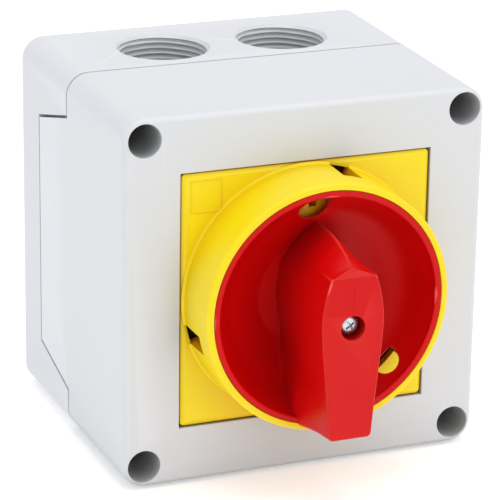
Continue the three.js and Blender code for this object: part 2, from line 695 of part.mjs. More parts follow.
function makeShaftSeal() {
  const outer = SEAL_POCKET_R - GAP;
  const bore = HUB_R + GAP;
  const backY = SEAL_POCKET_END_Y - GAP;
  const frontY = FRONT_Y + RECESS_DEPTH + GAP;
  const middle = (backY + frontY) / 2;
  return turned([
    [bore, backY],
    [outer, backY],
    [outer, frontY],
    [bore, frontY],
    [bore + 0.9, middle - 1],
    [bore + 0.9, middle + 1],
    [bore, backY],
  ], ROUND);
}

place('shaft_seal', makeShaftSeal(), sealRubber);

// ---------------------------------------------------------------- switch body

/** The pocket of one terminal in the switch base; side is +1 for line and -1 for load. */
function terminalPocket(x, side, frontY, backY) {
  const [inner, outer] = [TERMINAL_INNER_Z - GAP, SWITCH_Z + 1];
  const [low, high] = side > 0 ? [inner, outer] : [-outer, -inner];
  const half = TERMINAL_HALF_WIDTH + GAP;
  return block([x - half, frontY, low], [x + half, backY, high]);
}

function makeSwitchBase() {
  const floorY = SWITCH_BACK_Y - 3;
  const body = block([-SWITCH_X, SWITCH_SPLIT_Y, -SWITCH_Z], [SWITCH_X, SWITCH_BACK_Y, SWITCH_Z]);
  const ears = [-1, 1].map((side) => {
    const outer = side * (EAR_X + 4.5);
    return block([Math.min(0, outer), floorY, -5], [Math.max(0, outer), SWITCH_BACK_Y, 5]);
  });
  const chamber = block([-CHAMBER_X, SWITCH_SPLIT_Y - 1, -7.6], [CHAMBER_X, floorY, 7.6]);
  const pockets = POLES.flatMap((x) => [1, -1].map((side) =>
    terminalPocket(x, side, SWITCH_SPLIT_Y - 1, floorY)));
  const bridgeRoom = block([-CHAMBER_X, SWITCH_SPLIT_Y - 1, -CHAMBER_Z],
    [CHAMBER_X, FIXED_FACE_Y, CHAMBER_Z]);
  const earHoles = [-EAR_X, EAR_X].map((x) => rod(1.6 + GAP, 1, floorY - 1, x, 0));
  return cut(union(body, ...ears), chamber, ...pockets, bridgeRoom, ...earHoles);
}

function makeSwitchCover() {
  const backY = SWITCH_SPLIT_Y - GAP;
  const frontWall = 3.4;
  const body = block([-SWITCH_X, SWITCH_FRONT_Y, -SWITCH_Z], [SWITCH_X, backY, SWITCH_Z]);
  const nose = block([-SWITCH_X - 1, SWITCH_FRONT_Y - 1, CHAMBER_Z + 1.8],
    [SWITCH_X + 1, backY - 8, SWITCH_Z + 1]);
  const chamber = block([-CHAMBER_X, SWITCH_FRONT_Y + frontWall, -CHAMBER_Z],
    [CHAMBER_X, backY + 1, CHAMBER_Z]);
  const screwHoles = POLES.flatMap((x) => [1, -1].map((side) =>
    rod(3.4, backY + 1, SWITCH_FRONT_Y - 1, x, side * TERMINAL_SCREW_Z, SCREW)));
  const guides = [-1, 1].flatMap((side) => [-1, 1].map((end) => {
    const [x, z] = [side * 12, end * (CARRIER_Z + GAP + 1)];
    return block([x - 1.5, SWITCH_FRONT_Y + 1, z - 1], [x + 1.5, backY - 1, z + 1]);
  }));
  const indexRoom = rod(ROTOR_R + 0.4, SWITCH_SPLIT_Y, ROTOR_SHOULDER_Y - 0.5, 0, 0, ROUND);
  return cut(
    union(cut(body, nose, nose.mirror([0, 0, 1]), chamber), ...guides),
    rod(ROTOR_NECK_R + GAP, SWITCH_FRONT_Y + frontWall + 1, SWITCH_FRONT_Y - 1, 0, 0, ROUND),
    indexRoom,
    ...screwHoles,
  );
}

place('switch_base', makeSwitchBase(), switchGrey);
place('switch_cover', makeSwitchCover(), switchGrey);

[-EAR_X, EAR_X].forEach((x, i) => {
  place(`fixing_screw_${i + 1}`, screw({
    x, z: 0, headFrontY: SWITCH_BACK_Y - 3 - GAP - 2.4, headR: 3.1, headHeight: 2.4,
    shankR: 1.6, tipY: -4.2, recess: 'cross',
  }), zincSteel);
});

// ---------------------------------------------------------------- terminals

/** A fixed contact: bar, contact tip and threaded clamp block; side is +1 for line and -1 for load. */
function makeTerminal(x, side) {
  const along = (low, high) => (side > 0 ? [low, high] : [-high, -low]);
  const [barLow, barHigh] = along(TERMINAL_INNER_Z, TERMINAL_OUTER_Z);
  const [clampLow, clampHigh] = along(TERMINAL_SCREW_Z - 3.5, TERMINAL_SCREW_Z + 3.5);
  const half = TERMINAL_HALF_WIDTH;
  const backY = FIXED_FACE_Y + BAR_THICKNESS;
  const bar = block([x - half, FIXED_FACE_Y, barLow], [x + half, backY, barHigh]);
  const clamp = block([x - half + 0.4, backY - 0.4, clampLow], [x + half - 0.4, SWITCH_BACK_Y - 3 - GAP,
    clampHigh]);
  const wireWay = block([x - half + 1.3, backY + 1.6, side * TERMINAL_SCREW_Z - 8],
    [x + half - 1.3, SWITCH_BACK_Y - 4.6, side * TERMINAL_SCREW_Z + 8]);
  const tip = rod(TIP_R, FIXED_FACE_Y + 0.4, FIXED_FACE_Y - TIP_HEIGHT, x, side * TIP_Z, SCREW);
  const hole = rod(1.5 + GAP, backY + 2, FIXED_FACE_Y - 1, x, side * TERMINAL_SCREW_Z, SCREW);
  return cut(union(bar, clamp, tip), wireWay, hole);
}

const terminalSides = [{ name: 'line', side: 1 }, { name: 'load', side: -1 }];
terminalSides.forEach(({ name, side }) => {
  POLES.forEach((x, i) => {
    place(`${name}_terminal_${i + 1}`, makeTerminal(x, side), clampBrass);
    place(`${name}_screw_${i + 1}`, screw({
      x, z: side * TERMINAL_SCREW_Z, headFrontY: FIXED_FACE_Y - GAP - 2.4, headR: 2.9, headHeight: 2.4,
      shankR: 1.5, tipY: -17.2, recess: 'slot',
    }), zincSteel);
  });
});

// ---------------------------------------------------------------- moving contacts

/** The sliding carrier: a beam with a window for each pole and two arms with followers. */
function makeCarrier() {
  const beamBackY = -20.4;
  const beam = block([-21.6, CARRIER_TOP_Y, -CARRIER_Z], [21.6, beamBackY, CARRIER_Z]);
  const windows = POLES.map((x) =>
    block([x - 3.5, CARRIER_FRONT_Y, -CARRIER_Z - 1], [x + 3.5, BRIDGE_BACK_Y + 1.2, CARRIER_Z + 1]));
  const arms = [-1, 1].flatMap((side) => {
    const [low, high] = [side * ARM_INNER_X, side * ARM_OUTER_X].sort((a, b) => a - b);
    const arm = block([low, FOLLOWER_Y - 2.2, -2.6], [high, CARRIER_TOP_Y + 1, 2.6]);
    const pin = new THREE.CylinderGeometry(FOLLOWER_R, FOLLOWER_R, 3.4, 12);
    pin.rotateZ(Math.PI / 2).translate(side * (ARM_INNER_X - 1.2), FOLLOWER_Y, 0);
    return [arm, solid(pin)];
  });
  return cut(union(beam, ...arms), ...windows);
}

/** One moving contact: a bar with a tip at each end. */
function makeBridge(x) {
  const bar = block([x - 2.8, BRIDGE_BACK_Y - BAR_THICKNESS, -BRIDGE_HALF_LENGTH],
    [x + 2.8, BRIDGE_BACK_Y, BRIDGE_HALF_LENGTH]);
  const tips = [1, -1].map((side) =>
    rod(TIP_R, BRIDGE_BACK_Y + TIP_HEIGHT, BRIDGE_BACK_Y - 0.4, x, side * TIP_Z, SCREW));
  return union(bar, ...tips);
}

/** A round-wire compression spring along Y. */
class SpringPath extends THREE.Curve {
  constructor(radius, backY, frontY, coils) {
    super();
    Object.assign(this, { radius, backY, frontY, coils });
  }

  getPoint(t, target = new THREE.Vector3()) {
    const angle = 2 * Math.PI * this.coils * t;
    const y = this.backY + (this.frontY - this.backY) * t;
    return target.set(this.radius * Math.cos(angle), y, this.radius * Math.sin(angle));
  }
}

function makeSpring(x) {
  const wire = 0.35;
  const coils = 3;
  const path = new SpringPath(2.2, BRIDGE_BACK_Y - BAR_THICKNESS - GAP - wire,
    CARRIER_FRONT_Y + GAP + wire, coils);
  const section = polygon([0, 1, 2, 3, 4].map((i) => {
    const angle = (2 * Math.PI * i) / 5;
    return [wire * Math.cos(angle), wire * Math.sin(angle)];
  }));
  const geometry = new THREE.ExtrudeGeometry(section, { steps: 9 * coils, extrudePath: path });
  return solid(geometry).translate([x, 0, 0]);
}

place('contact_carrier', makeCarrier(), rotorWhite);
POLES.forEach((x, i) => {
  place(`contact_bridge_${i + 1}`, makeBridge(x), contactCopper);
  place(`contact_spring_${i + 1}`, makeSpring(x), springSteel);
});

// ---------------------------------------------------------------- rotor

/** The room that one follower needs as the rotor turns a quarter turn and the carrier rises. */
function helicalGroove(startAngle) {
  const steps = 9;
  const overrun = 2;
  const clear = FOLLOWER_R + 0.35;
  const rings = [];
  for (let i = -overrun; i <= steps + overrun; i += 1) {
    const angle = startAngle - ((Math.PI / 2) * i) / steps;
    const y = FOLLOWER_Y - (CONTACT_TRAVEL * i) / steps;
    const at = (radius, dy) => [radius * Math.cos(angle), y + dy, radius * Math.sin(angle)];
    rings.push([at(7.3, clear), at(ROTOR_R + 1, clear), at(ROTOR_R + 1, -clear), at(7.3, -clear)]);
  }
  return loft(rings);
}

function makeRotor() {
  const body = turned([
    [0, ROTOR_BACK_Y],
    [ROTOR_R, ROTOR_BACK_Y],
    [ROTOR_R, ROTOR_SHOULDER_Y],
    [ROTOR_NECK_R, ROTOR_SHOULDER_Y],
    [ROTOR_NECK_R, ROTOR_FRONT_Y],
    [0, ROTOR_FRONT_Y],
  ], ROUND);
  const socket = block([-SOCKET_HALF, ROTOR_FRONT_Y - 1, -SOCKET_HALF],
    [SOCKET_HALF, SHAFT_BACK_Y + GAP, SOCKET_HALF]);
  const notches = [0, 1, 2, 3].map((i) => {
    const angle = (i * Math.PI) / 2;
    return rod(1.4, SWITCH_FRONT_Y - 0.4, ROTOR_FRONT_Y - 1,
      (ROTOR_NECK_R + 0.6) * Math.cos(angle), (ROTOR_NECK_R + 0.6) * Math.sin(angle), SCREW);
  });
  return cut(body, socket, helicalGroove(0), helicalGroove(Math.PI), ...notches);
}

place('cam_rotor', makeRotor(), rotorWhite);

/** A leaf spring on the cover's front, beside the rotor's neck. */
function makeIndexSpring(side) {
  const inner = ROTOR_NECK_R + GAP;
  const shape = polygon([
    [inner, 0], [inner + 0.6, 1.4], [inner + 1, 9], [inner + 1.7, 9], [inner + 1.3, 1.2],
    [inner + 1, 0], [inner + 1.3, -1.2], [inner + 1.7, -9], [inner + 1, -9], [inner + 0.6, -1.4],
  ]);
  const leaf = prism(shape, SWITCH_FRONT_Y - GAP, ROTOR_FRONT_Y + 0.4);
  return side > 0 ? leaf : leaf.mirror([1, 0, 0]);
}

place('index_spring_1', makeIndexSpring(1), springSteel);
place('index_spring_2', makeIndexSpring(-1), springSteel);

// ---------------------------------------------------------------- earth bar

const EARTH_Z = -36;
const EARTH_X = 8;
const EARTH_BACK_Y = -BACK_WALL - GAP;

place('earth_terminal', cut(
  block([-14, EARTH_BACK_Y - 8, EARTH_Z - 4], [14, EARTH_BACK_Y, EARTH_Z + 4]),
  ...[-EARTH_X, EARTH_X].map((x) => rod(1.6 + GAP, EARTH_BACK_Y - 4, EARTH_BACK_Y - 9, x, EARTH_Z)),
), clampBrass);
[-EARTH_X, EARTH_X].forEach((x, i) => {
  place(`earth_screw_${i + 1}`, screw({
    x, z: EARTH_Z, headFrontY: EARTH_BACK_Y - 8 - GAP - 2.4, headR: 3.1, headHeight: 2.4,
    shankR: 1.6, tipY: EARTH_BACK_Y - 4.6, recess: 'slot',
  }), zincSteel);
});

export default group;
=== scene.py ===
"""Rotary isolator switch in a square moulded wall box: looks, studio and camera.

Lengths are in millimetres while a piece is built, and become metres when it is finished.
+Z is up, the wall face of the box is Y = 0 and the front faces -Y.
"""

import json
import math

import bmesh
import bpy
from mathutils import Matrix, Vector


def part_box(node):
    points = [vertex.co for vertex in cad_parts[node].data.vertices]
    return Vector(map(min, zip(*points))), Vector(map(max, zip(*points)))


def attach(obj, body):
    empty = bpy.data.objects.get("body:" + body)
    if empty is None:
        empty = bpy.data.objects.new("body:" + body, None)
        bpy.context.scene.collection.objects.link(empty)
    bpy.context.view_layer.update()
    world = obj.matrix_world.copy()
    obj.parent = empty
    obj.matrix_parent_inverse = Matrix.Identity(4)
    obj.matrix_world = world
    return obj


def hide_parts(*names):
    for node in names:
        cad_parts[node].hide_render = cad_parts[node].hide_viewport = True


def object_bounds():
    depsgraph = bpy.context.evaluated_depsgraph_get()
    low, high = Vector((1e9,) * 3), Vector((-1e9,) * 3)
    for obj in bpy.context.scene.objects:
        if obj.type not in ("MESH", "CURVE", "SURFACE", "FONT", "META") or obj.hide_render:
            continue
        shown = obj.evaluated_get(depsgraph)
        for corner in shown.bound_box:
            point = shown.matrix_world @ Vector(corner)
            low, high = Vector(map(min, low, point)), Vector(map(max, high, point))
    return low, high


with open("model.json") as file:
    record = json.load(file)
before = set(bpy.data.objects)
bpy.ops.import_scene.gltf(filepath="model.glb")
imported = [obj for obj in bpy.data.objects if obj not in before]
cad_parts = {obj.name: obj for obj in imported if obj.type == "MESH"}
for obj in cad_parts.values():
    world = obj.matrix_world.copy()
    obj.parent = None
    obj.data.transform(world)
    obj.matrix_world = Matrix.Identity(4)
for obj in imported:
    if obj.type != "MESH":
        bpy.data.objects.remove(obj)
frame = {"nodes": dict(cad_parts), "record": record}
CAD_LOW, CAD_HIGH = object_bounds()

MM = 0.001


def box_mm(node):
    """A CAD node's lowest and highest corners, in millimetres."""
    low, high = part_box(node)
    return low / MM, high / MM


# ---------------------------------------------------------------- sizes

# Radii and heights of the yellow and red pieces count from the handle's axis and the plate's face.
# WINDOWS and LAND_NOTCHES are (angle from +X towards +Z, width) in degrees.

BASE_HIGH = box_mm("base_box")[1]
LID_LOW, LID_HIGH = box_mm("lid")
PLATE_HIGH = box_mm("escutcheon")[1]
HANDLE_LOW, HANDLE_HIGH = box_mm("dish_handle")

FRONT_Y = LID_LOW.y
BACK_HALF = BASE_HIGH.x
BOX_DEPTH = -FRONT_Y
FRONT_HALF = 49.25
CORNER_R = 6.0
FRONT_EDGE_R = 1.4
BACK_EDGE_R = 0.6
PARTING_Y = -37.4
PARTING_GROOVE = 0.6
TONGUE_TIP_Y = LID_HIGH.y
TONGUE_TIP_HALF = 31.8
TONGUE_ROOT_HALF = 37.8
TONGUE_THICKNESS = 2.3
WALL = 2.6
BACK_WALL = 3.0
RIM_HALF = 44.4
RIM_DEPTH = 4.5
CORNER_CUT = 78.6
SEAL_HALF = 45.9
SEAL_DIAGONAL = 82.2
SEAL_WIDTH = 1.8
SEAL_DEPTH = 1.6
GAP = 0.3

POST_R = 4.6
POST_HOLE_R = 1.9
WALL_SLOT_X = 34.0
WALL_SLOT_Z = 28.0

ENTRY_X = 17.0
ENTRY_Y = -21.0
ENTRY_MINOR_R = 11.7
ENTRY_MAJOR_R = 12.5
ENTRY_PITCH = 1.5
ENTRY_THREAD_END = 7.2
ENTRY_BOSS_R = 15.5
ENTRY_BOSS_END = 41.5

WELL_AT = 43.65
WELL_R = 4.35
WELL_FLOOR_Y = -42.0
LID_SCREW_HOLE_R = 2.2
PILOT_END_Y = -18.0

RECESS_HALF = 34.25
RECESS_DEPTH = 3.5
RECESS_FLOOR = 2.5
LID_FRONT_WALL = 3.0
SEAL_BOSS_R = 11.5
SEAL_POCKET_R = 9.7
SHAFT_PASS_R = 5.0
SNAP_X = 24.0
SNAP_Z = 30.5
SNAP_HALF = (2.5, 1.0)
BARB_Z = 32.4
BARB_LENGTH = 1.6
PLATE_THICKNESS = 2.1
PLATE_BEVEL = 1.2
COLLAR_R = 33.0
COLLAR_FOOT_R = 33.2
COLLAR_BORE_R = 31.13
COLLAR_HEIGHT = 16.1
WINDOW_HEIGHT = 9.3
WINDOWS = ((75, 9.5), (195, 9.5), (315, 12.5))
SLOT_INNER_R = 29.5
SLOT_OUTER_R = 33.1
LAND_INNER_R = 20.8
LAND_OUTER_R = 28.6
LAND_HEIGHT = 3.9
LAND_NOTCH_R = 23.3
LAND_NOTCHES = ((98.6, 3.0), (90.3, 5.2))
LABEL_X = (-31.8, -23.2)
LABEL_Z = (23.5, 32.2)
LABEL_LINE = 0.28
LABEL_RISE = 0.16

HUB_R = 7.0
HUB_FLOOR_R = 14.3
HUB_FLOOR = 3.5
LIP_INNER_R = 29.3
KNEE_R = 25.2
KNEE = 8.8
STEEP_TOP = 15.4
DISH_R = 31.0
DISH_WALL = 1.8
DISH_BACK = 0.6
SKIRT_END = 9.5
SKIRT_THICKNESS = 1.6
LIP_EDGE_R = 0.22
GRIP_FRONT = FRONT_Y - HANDLE_LOW.y
HUB_END_Y = HANDLE_HIGH.y
SHAFT_FRONT_Y = box_mm("drive_shaft")[0].y
SOCKET_HALF = 3.3
COUNTERBORE_R = 3.2
COUNTERBORE_FLOOR = 26.6
SCREW_PASS_R = 1.7
MOULD_LINE_HALF = 0.07
MOULD_LINE_DEPTH = 0.035
MOULD_LINE_Z = (4.6, 12.4)

D_HOLE_ANGLE = math.radians(-45)
D_HOLE_R = 3.6
D_HOLE_CHORD = 1.65
D_HOLE_UP = 1.95
D_HOLE_FRONT = 4.0
D_HOLE_BACK = 7.0
ROUND_HOLE_ANGLE = math.radians(94.5)
ROUND_HOLE_AT = 25.5
ROUND_HOLE_R = 4.1

CORNERS = ((1, 1), (-1, 1), (-1, -1), (1, -1))


def half_at(y):
    """Half the box's side at a depth: the sides slope a little for the mould."""
    return BACK_HALF + (BACK_HALF - FRONT_HALF) * y / BOX_DEPTH


# ---------------------------------------------------------------- mesh tools


def make_object(name, points, faces):
    """A closed mesh object from points and faces, with its faces turned outwards."""
    mesh = bpy.data.meshes.new(name)
    mesh.from_pydata(points, [], faces)
    work = bmesh.new()
    work.from_mesh(mesh)
    bmesh.ops.remove_doubles(work, verts=work.verts, dist=1e-4)
    bmesh.ops.recalc_face_normals(work, faces=work.faces)
    if work.calc_volume(signed=True) < 0:
        bmesh.ops.reverse_faces(work, faces=work.faces)
    work.to_mesh(mesh)
    work.free()
    obj = bpy.data.objects.new(name, mesh)
    bpy.context.scene.collection.objects.link(obj)
    return obj


def loft(name, rings):
    """Joins closed rings of equal point count, and closes both ends."""
    count = len(rings[0])
    points = [point for ring in rings for point in ring]
    faces = []
    for level in range(len(rings) - 1):
        for i in range(count):
            a = level * count + i
            b = level * count + (i + 1) % count
            faces.append((a, b, b + count, a + count))
    faces.append(tuple(range(count)))
    faces.append(tuple(range((len(rings) - 1) * count, len(rings) * count)))
    return make_object(name, points, faces)


def turned(name, profile, segments=96, at=(0.0, 0.0)):
    """A profile of (radius, y) points turned about a line along Y.

    It starts and ends on the axis, or it closes on itself and makes a ring.
    """
    points = []
    starts = []
    for radius, y in profile:
        starts.append(len(points))
        if radius < 1e-6:
            points.append((at[0], y, at[1]))
            continue
        for i in range(segments):
            angle = 2 * math.pi * i / segments
            points.append((at[0] + radius * math.cos(angle), y, at[1] + radius * math.sin(angle)))
    faces = []
    rows = list(zip(profile, starts))
    pairs = list(zip(rows, rows[1:]))
    if profile[0][0] > 1e-6:
        pairs.append((rows[-1], rows[0]))
    for ((r0, _), s0), ((r1, _), s1) in pairs:
        for i in range(segments):
            j = (i + 1) % segments
            if r0 < 1e-6 and r1 < 1e-6:
                continue
            if r0 < 1e-6:
                faces.append((s0, s1 + i, s1 + j))
            elif r1 < 1e-6:
                faces.append((s0 + i, s0 + j, s1))
            else:
                faces.append((s0 + i, s0 + j, s1 + j, s1 + i))
    return make_object(name, points, faces)


def prism(name, outline, y0, y1):
    """An outline of (x, z) points drawn out along Y."""
    return loft(name, [[(x, y, z) for x, z in outline] for y in (y0, y1)])


def block(name, low, high):
    """A block between two corners."""
    (x0, y0, z0), (x1, y1, z1) = low, high
    return prism(name, [(x0, z0), (x1, z0), (x1, z1), (x0, z1)], y0, y1)


def rod(name, radius, y0, y1, x=0.0, z=0.0, segments=48):
    """A cylinder along Y."""
    return turned(name, [(0, y0), (radius, y0), (radius, y1), (0, y1)], segments, (x, z))


def combine(target, operation, tools):
    """Joins solids to the target, or cuts or limits it by them, and uses them up."""
    for tool in tools:
        step = target.modifiers.new(operation.lower(), "BOOLEAN")
        step.operation = operation
        step.solver = "MANIFOLD"
        step.object = tool
    graph = bpy.context.evaluated_depsgraph_get()
    result = bpy.data.meshes.new_from_object(target.evaluated_get(graph))
    target.modifiers.clear()
    old = target.data
    target.data = result
    bpy.data.meshes.remove(old)
    for tool in tools:
        bpy.data.objects.remove(tool)
    return target


def turn_to_z(obj, x, side):
    """Stands a solid made along Y upright at a cable entry, with its -Y end outwards."""
    obj.data.transform(Matrix.Rotation(-side * math.pi / 2, 4, "X"))
    obj.data.transform(Matrix.Translation((x, ENTRY_Y, 0)))
    return obj


def rounded_square(half, radius, y, steps=10):
    """A ring of points: a square with round corners at one depth."""
    ring = []
    for corner in range(4):
        start = corner * math.pi / 2
        middle = start + math.pi / 4
        cx = math.copysign(half - radius, math.cos(middle))
        cz = math.copysign(half - radius, math.sin(middle))
        for i in range(steps + 1):
            angle = start + math.pi / 2 * i / steps
            ring.append((cx + radius * math.cos(angle), y, cz + radius * math.sin(angle)))
    return ring


def cut_square(half, limit):
    """The outline of a square with its corners cut along |x| + |z| = limit."""
    other = limit - half
    return [
        (half, -other), (half, other), (other, half), (-other, half),
        (-half, other), (-half, -other), (-other, -half), (other, -half),
    ]


def quarter(radius, steps):
    """(run-in, rise) pairs of a quarter round, from its start on the side to its end on the face."""
    turns = [math.pi / 2 * i / steps for i in range(steps + 1)]
    return [(radius * (1 - math.cos(t)), radius * (1 - math.sin(t))) for t in turns]


def smooth_curve(knots, samples):
    """Points on a Catmull-Rom curve through the knots, in even parameter steps."""
    padded = [knots[0], *knots, knots[-1]]
    points = []
    spans = len(knots) - 1
    for i in range(samples + 1):
        place = min(i * spans / samples, spans - 1e-9)
        span = int(place)
        t = place - span
        p0, p1, p2, p3 = (Vector(p) for p in padded[span:span + 4])
        a = 2 * p1
        b = (p2 - p0) * t
        c = (2 * p0 - 5 * p1 + 4 * p2 - p3) * t * t
        d = (3 * p1 - p0 - 3 * p2 + p3) * t ** 3
        points.append((a + b + c + d) / 2)
    return points


def along(table, at):
    """Reads a value off the straight lines between (place, value) pairs in rising order."""
    if at <= table[0][0]:
        return table[0][1]
    for (x0, y0), (x1, y1) in zip(table, table[1:]):
        if at <= x1:
            t = (at - x0) / (x1 - x0)
            return y0 + (y1 - y0) * t
    return table[-1][1]


# ---------------------------------------------------------------- material tools


class Nodes:
    """Short calls that add shader nodes to one material."""

    def __init__(self, name):
        self.material = bpy.data.materials.new(name)
        self.material.use_nodes = True
        self.tree = self.material.node_tree
        self.shader = self.tree.nodes["Principled BSDF"]

    def add(self, kind, inputs=None, **settings):
        """Adds a node; inputs are linked or set by name, and settings are its own properties."""
        node = self.tree.nodes.new(kind)
        for key, value in settings.items():
            setattr(node, key, value)
        for key, value in (inputs or {}).items():
            if isinstance(value, bpy.types.NodeSocket):
                self.tree.links.new(value, node.inputs[key])
            else:
                node.inputs[key].default_value = value
        return node

    def noise(self, scale, detail, roughness, stretch=None):
        """A noise between 0 and 1; scale is in features per metre."""
        where = self.add("ShaderNodeTexCoord").outputs["Object"]
        if stretch:
            where = self.add("ShaderNodeMapping", {"Vector": where, "Scale": stretch}).outputs["Vector"]
        inputs = {"Vector": where, "Scale": scale, "Detail": detail, "Roughness": roughness}
        return self.add("ShaderNodeTexNoise", inputs).outputs["Fac"]

    def remap(self, value, low, high, to_low, to_high):
        """Stretches low..high to to_low..to_high, and holds the ends."""
        inputs = {"Value": value, "From Min": low, "From Max": high, "To Min": to_low, "To Max": to_high}
        return self.add("ShaderNodeMapRange", inputs, clamp=True).outputs["Result"]

    def mix(self, amount, colour_a, colour_b):
        """Blends two colours; the node's colour sockets are numbers 6 and 7, and its result is 2."""
        inputs = {0: amount, 6: colour_a, 7: colour_b}
        return self.add("ShaderNodeMix", inputs, data_type="RGBA").outputs[2]

    def math(self, operation, a, b):
        return self.add("ShaderNodeMath", {0: a, 1: b}, operation=operation).outputs[0]

    def edges(self):
        """Near 1 on outward edges and 0 elsewhere."""
        point = self.add("ShaderNodeNewGeometry").outputs["Pointiness"]
        return self.remap(point, 0.52, 0.60, 0.0, 1.0)

    def set(self, **values):
        """Links or sets the shader's own inputs, with _ for each space in a name."""
        for key, value in values.items():
            socket = self.shader.inputs[key.replace("_", " ")]
            if isinstance(value, bpy.types.NodeSocket):
                self.tree.links.new(value, socket)
            else:
                socket.default_value = value


def rgb(red, green, blue):
    """A colour from 0 to 255 display values, as the renderer's linear colour."""
    def linear(value):
        share = value / 255
        return share / 12.92 if share <= 0.04045 else ((share + 0.055) / 1.055) ** 2.4
    return (linear(red), linear(green), linear(blue), 1.0)


def shade(colour, factor):
    """A colour made lighter or darker, at most white."""
    return tuple(min(1.0, channel * factor) for channel in colour[:3]) + (1.0,)


def moulded(name, colour, gloss, texture_depth, speck=0.02, shine=0.5, recess=None, edge=None):
    """A moulded plastic: fine spark-eroded texture, flow marks, a painted highlight on outward edges,
    painted shade in recesses.

    recess and edge are (strength, colour) of the painted shade in deep places and of the painted
    highlight on outward edges.
    """
    n = Nodes(name)
    flow = n.noise(38, 4, 0.6, (1.0, 1.0, 2.4))
    fine = n.noise(2600, 3, 0.6)
    dots = n.noise(900, 2, 0.5)
    tint = n.mix(n.remap(flow, 0.3, 0.7, 0.0, 1.0), shade(colour, 1 - speck), shade(colour, 1 + speck))
    dusty = n.mix(n.remap(dots, 0.66, 0.8, 0.0, 0.35), tint, shade(colour, 0.86))
    # Painted highlight: outward edges are lightened towards the edge colour.
    highlight_strength, highlight_colour = edge or (0.35, shade(colour, 1.12))
    dust_and_painted_light = n.mix(n.math("MULTIPLY", n.edges(), highlight_strength), dusty, highlight_colour)
    # Painted shade: places that ambient occlusion finds enclosed are darkened towards the recess colour.
    if recess:
        strength, painted_shade_colour = recess
        open_sky = n.add("ShaderNodeAmbientOcclusion", {"Distance": 0.03}, samples=6).outputs["AO"]
        dust_and_painted_light = n.mix(n.remap(open_sky, 0.2, 0.6, strength, 0.0), dust_and_painted_light, painted_shade_colour)
    rough = n.remap(flow, 0.25, 0.75, gloss - 0.05, gloss + 0.06)
    rough = n.math("SUBTRACT", rough, n.math("MULTIPLY", n.edges(), 0.08))
    rounded = n.add("ShaderNodeBevel", {"Radius": 0.00022}, samples=4).outputs["Normal"]
    wave = n.add(
        "ShaderNodeBump",
        {"Strength": 0.12, "Distance": 0.0004, "Height": n.noise(70, 2, 0.5), "Normal": rounded},
    ).outputs["Normal"]
    bump = n.add(
        "ShaderNodeBump",
        {"Strength": 0.5, "Distance": texture_depth, "Height": fine, "Normal": wave},
    ).outputs["Normal"]
    n.set(Base_Color=dust_and_painted_light, Roughness=rough, Normal=bump, IOR=1.52, Specular_IOR_Level=shine)
    return n.material


def plated(name, colour, gloss, brushed=False):
    """A metal with drawn or rolled lines, worn plating and small pits."""
    n = Nodes(name)
    lines = n.noise(300, 4, 0.6, (1.0, 12.0, 1.0) if brushed else (5.0, 1.0, 5.0))
    stain = n.noise(420, 3, 0.6)
    pits = n.noise(3200, 2, 0.5)
    tint = n.mix(n.remap(stain, 0.35, 0.7, 0.0, 1.0), shade(colour, 0.82), shade(colour, 1.08))
    bright = n.mix(n.math("MULTIPLY", n.edges(), 0.5), tint, shade(colour, 1.25))
    rough = n.remap(lines, 0.3, 0.7, gloss - 0.08, gloss + 0.12)
    rounded = n.add("ShaderNodeBevel", {"Radius": 0.00012}, samples=4).outputs["Normal"]
    height = n.math("ADD", n.math("MULTIPLY", lines, 0.6), n.math("MULTIPLY", pits, 0.4))
    bump = n.add(
        "ShaderNodeBump",
        {"Strength": 0.35, "Distance": 0.00003, "Height": height, "Normal": rounded},
    ).outputs["Normal"]
    n.set(Base_Color=bright, Roughness=rough, Normal=bump, Metallic=1.0)
    return n.material


def rubbery(name, colour):
    """A matt rubber with bloom and a fine skin."""
    n = Nodes(name)
    bloom = n.noise(160, 4, 0.6)
    skin = n.noise(2400, 3, 0.6)
    tint = n.mix(n.remap(bloom, 0.4, 0.75, 0.0, 1.0), colour, shade(colour, 1.9))
    bump = n.add("ShaderNodeBump", {"Strength": 0.5, "Distance": 0.00003, "Height": skin})
    n.set(Base_Color=tint, Roughness=n.remap(bloom, 0.3, 0.7, 0.72, 0.9),
          Normal=bump.outputs["Normal"], Specular_IOR_Level=0.25)
    return n.material


BOX_COLOUR = rgb(205, 206, 208)

MATERIALS = {
    "box_grey": moulded("box_grey", BOX_COLOUR, 0.46, 0.00002, speck=0.012),
    # The lid's grey is the box grey with painted shade in its screw wells and other recesses.
    "lid_grey_painted_shade": moulded("lid_grey_painted_shade", BOX_COLOUR, 0.46, 0.00002, speck=0.012,
                        recess=(0.45, rgb(104, 104, 98))),
    # The yellow plate has painted orange shade in its recesses, standing in for shade and light thrown
    # from the red dish.
    "plate_yellow": moulded("plate_yellow", rgb(234, 209, 12), 0.36, 0.000012, speck=0.015, shine=0.3,
                            recess=(0.7, rgb(222, 112, 6))),
    # The red handle has painted shade in its bowl and a painted pink highlight on its outward edges.
    "handle_red": moulded("handle_red", rgb(199, 3, 4), 0.34, 0.000012, speck=0.03, shine=0.16,
                          recess=(0.65, rgb(135, 1, 3)), edge=(0.8, rgb(240, 96, 86))),
    "seal_rubber": rubbery("seal_rubber", rgb(30, 30, 32)),
    "zinc_steel": plated("zinc_steel", rgb(210, 212, 218), 0.3),
    "switch_grey": moulded("switch_grey", rgb(74, 78, 82), 0.5, 0.00003, speck=0.06),
    "rotor_white": moulded("rotor_white", rgb(226, 222, 208), 0.48, 0.00002, speck=0.03),
    "contact_copper": plated("contact_copper", rgb(214, 140, 98), 0.28, brushed=True),
    "clamp_brass": plated("clamp_brass", rgb(212, 182, 104), 0.3, brushed=True),
    "spring_steel": plated("spring_steel", rgb(178, 180, 184), 0.25),
}


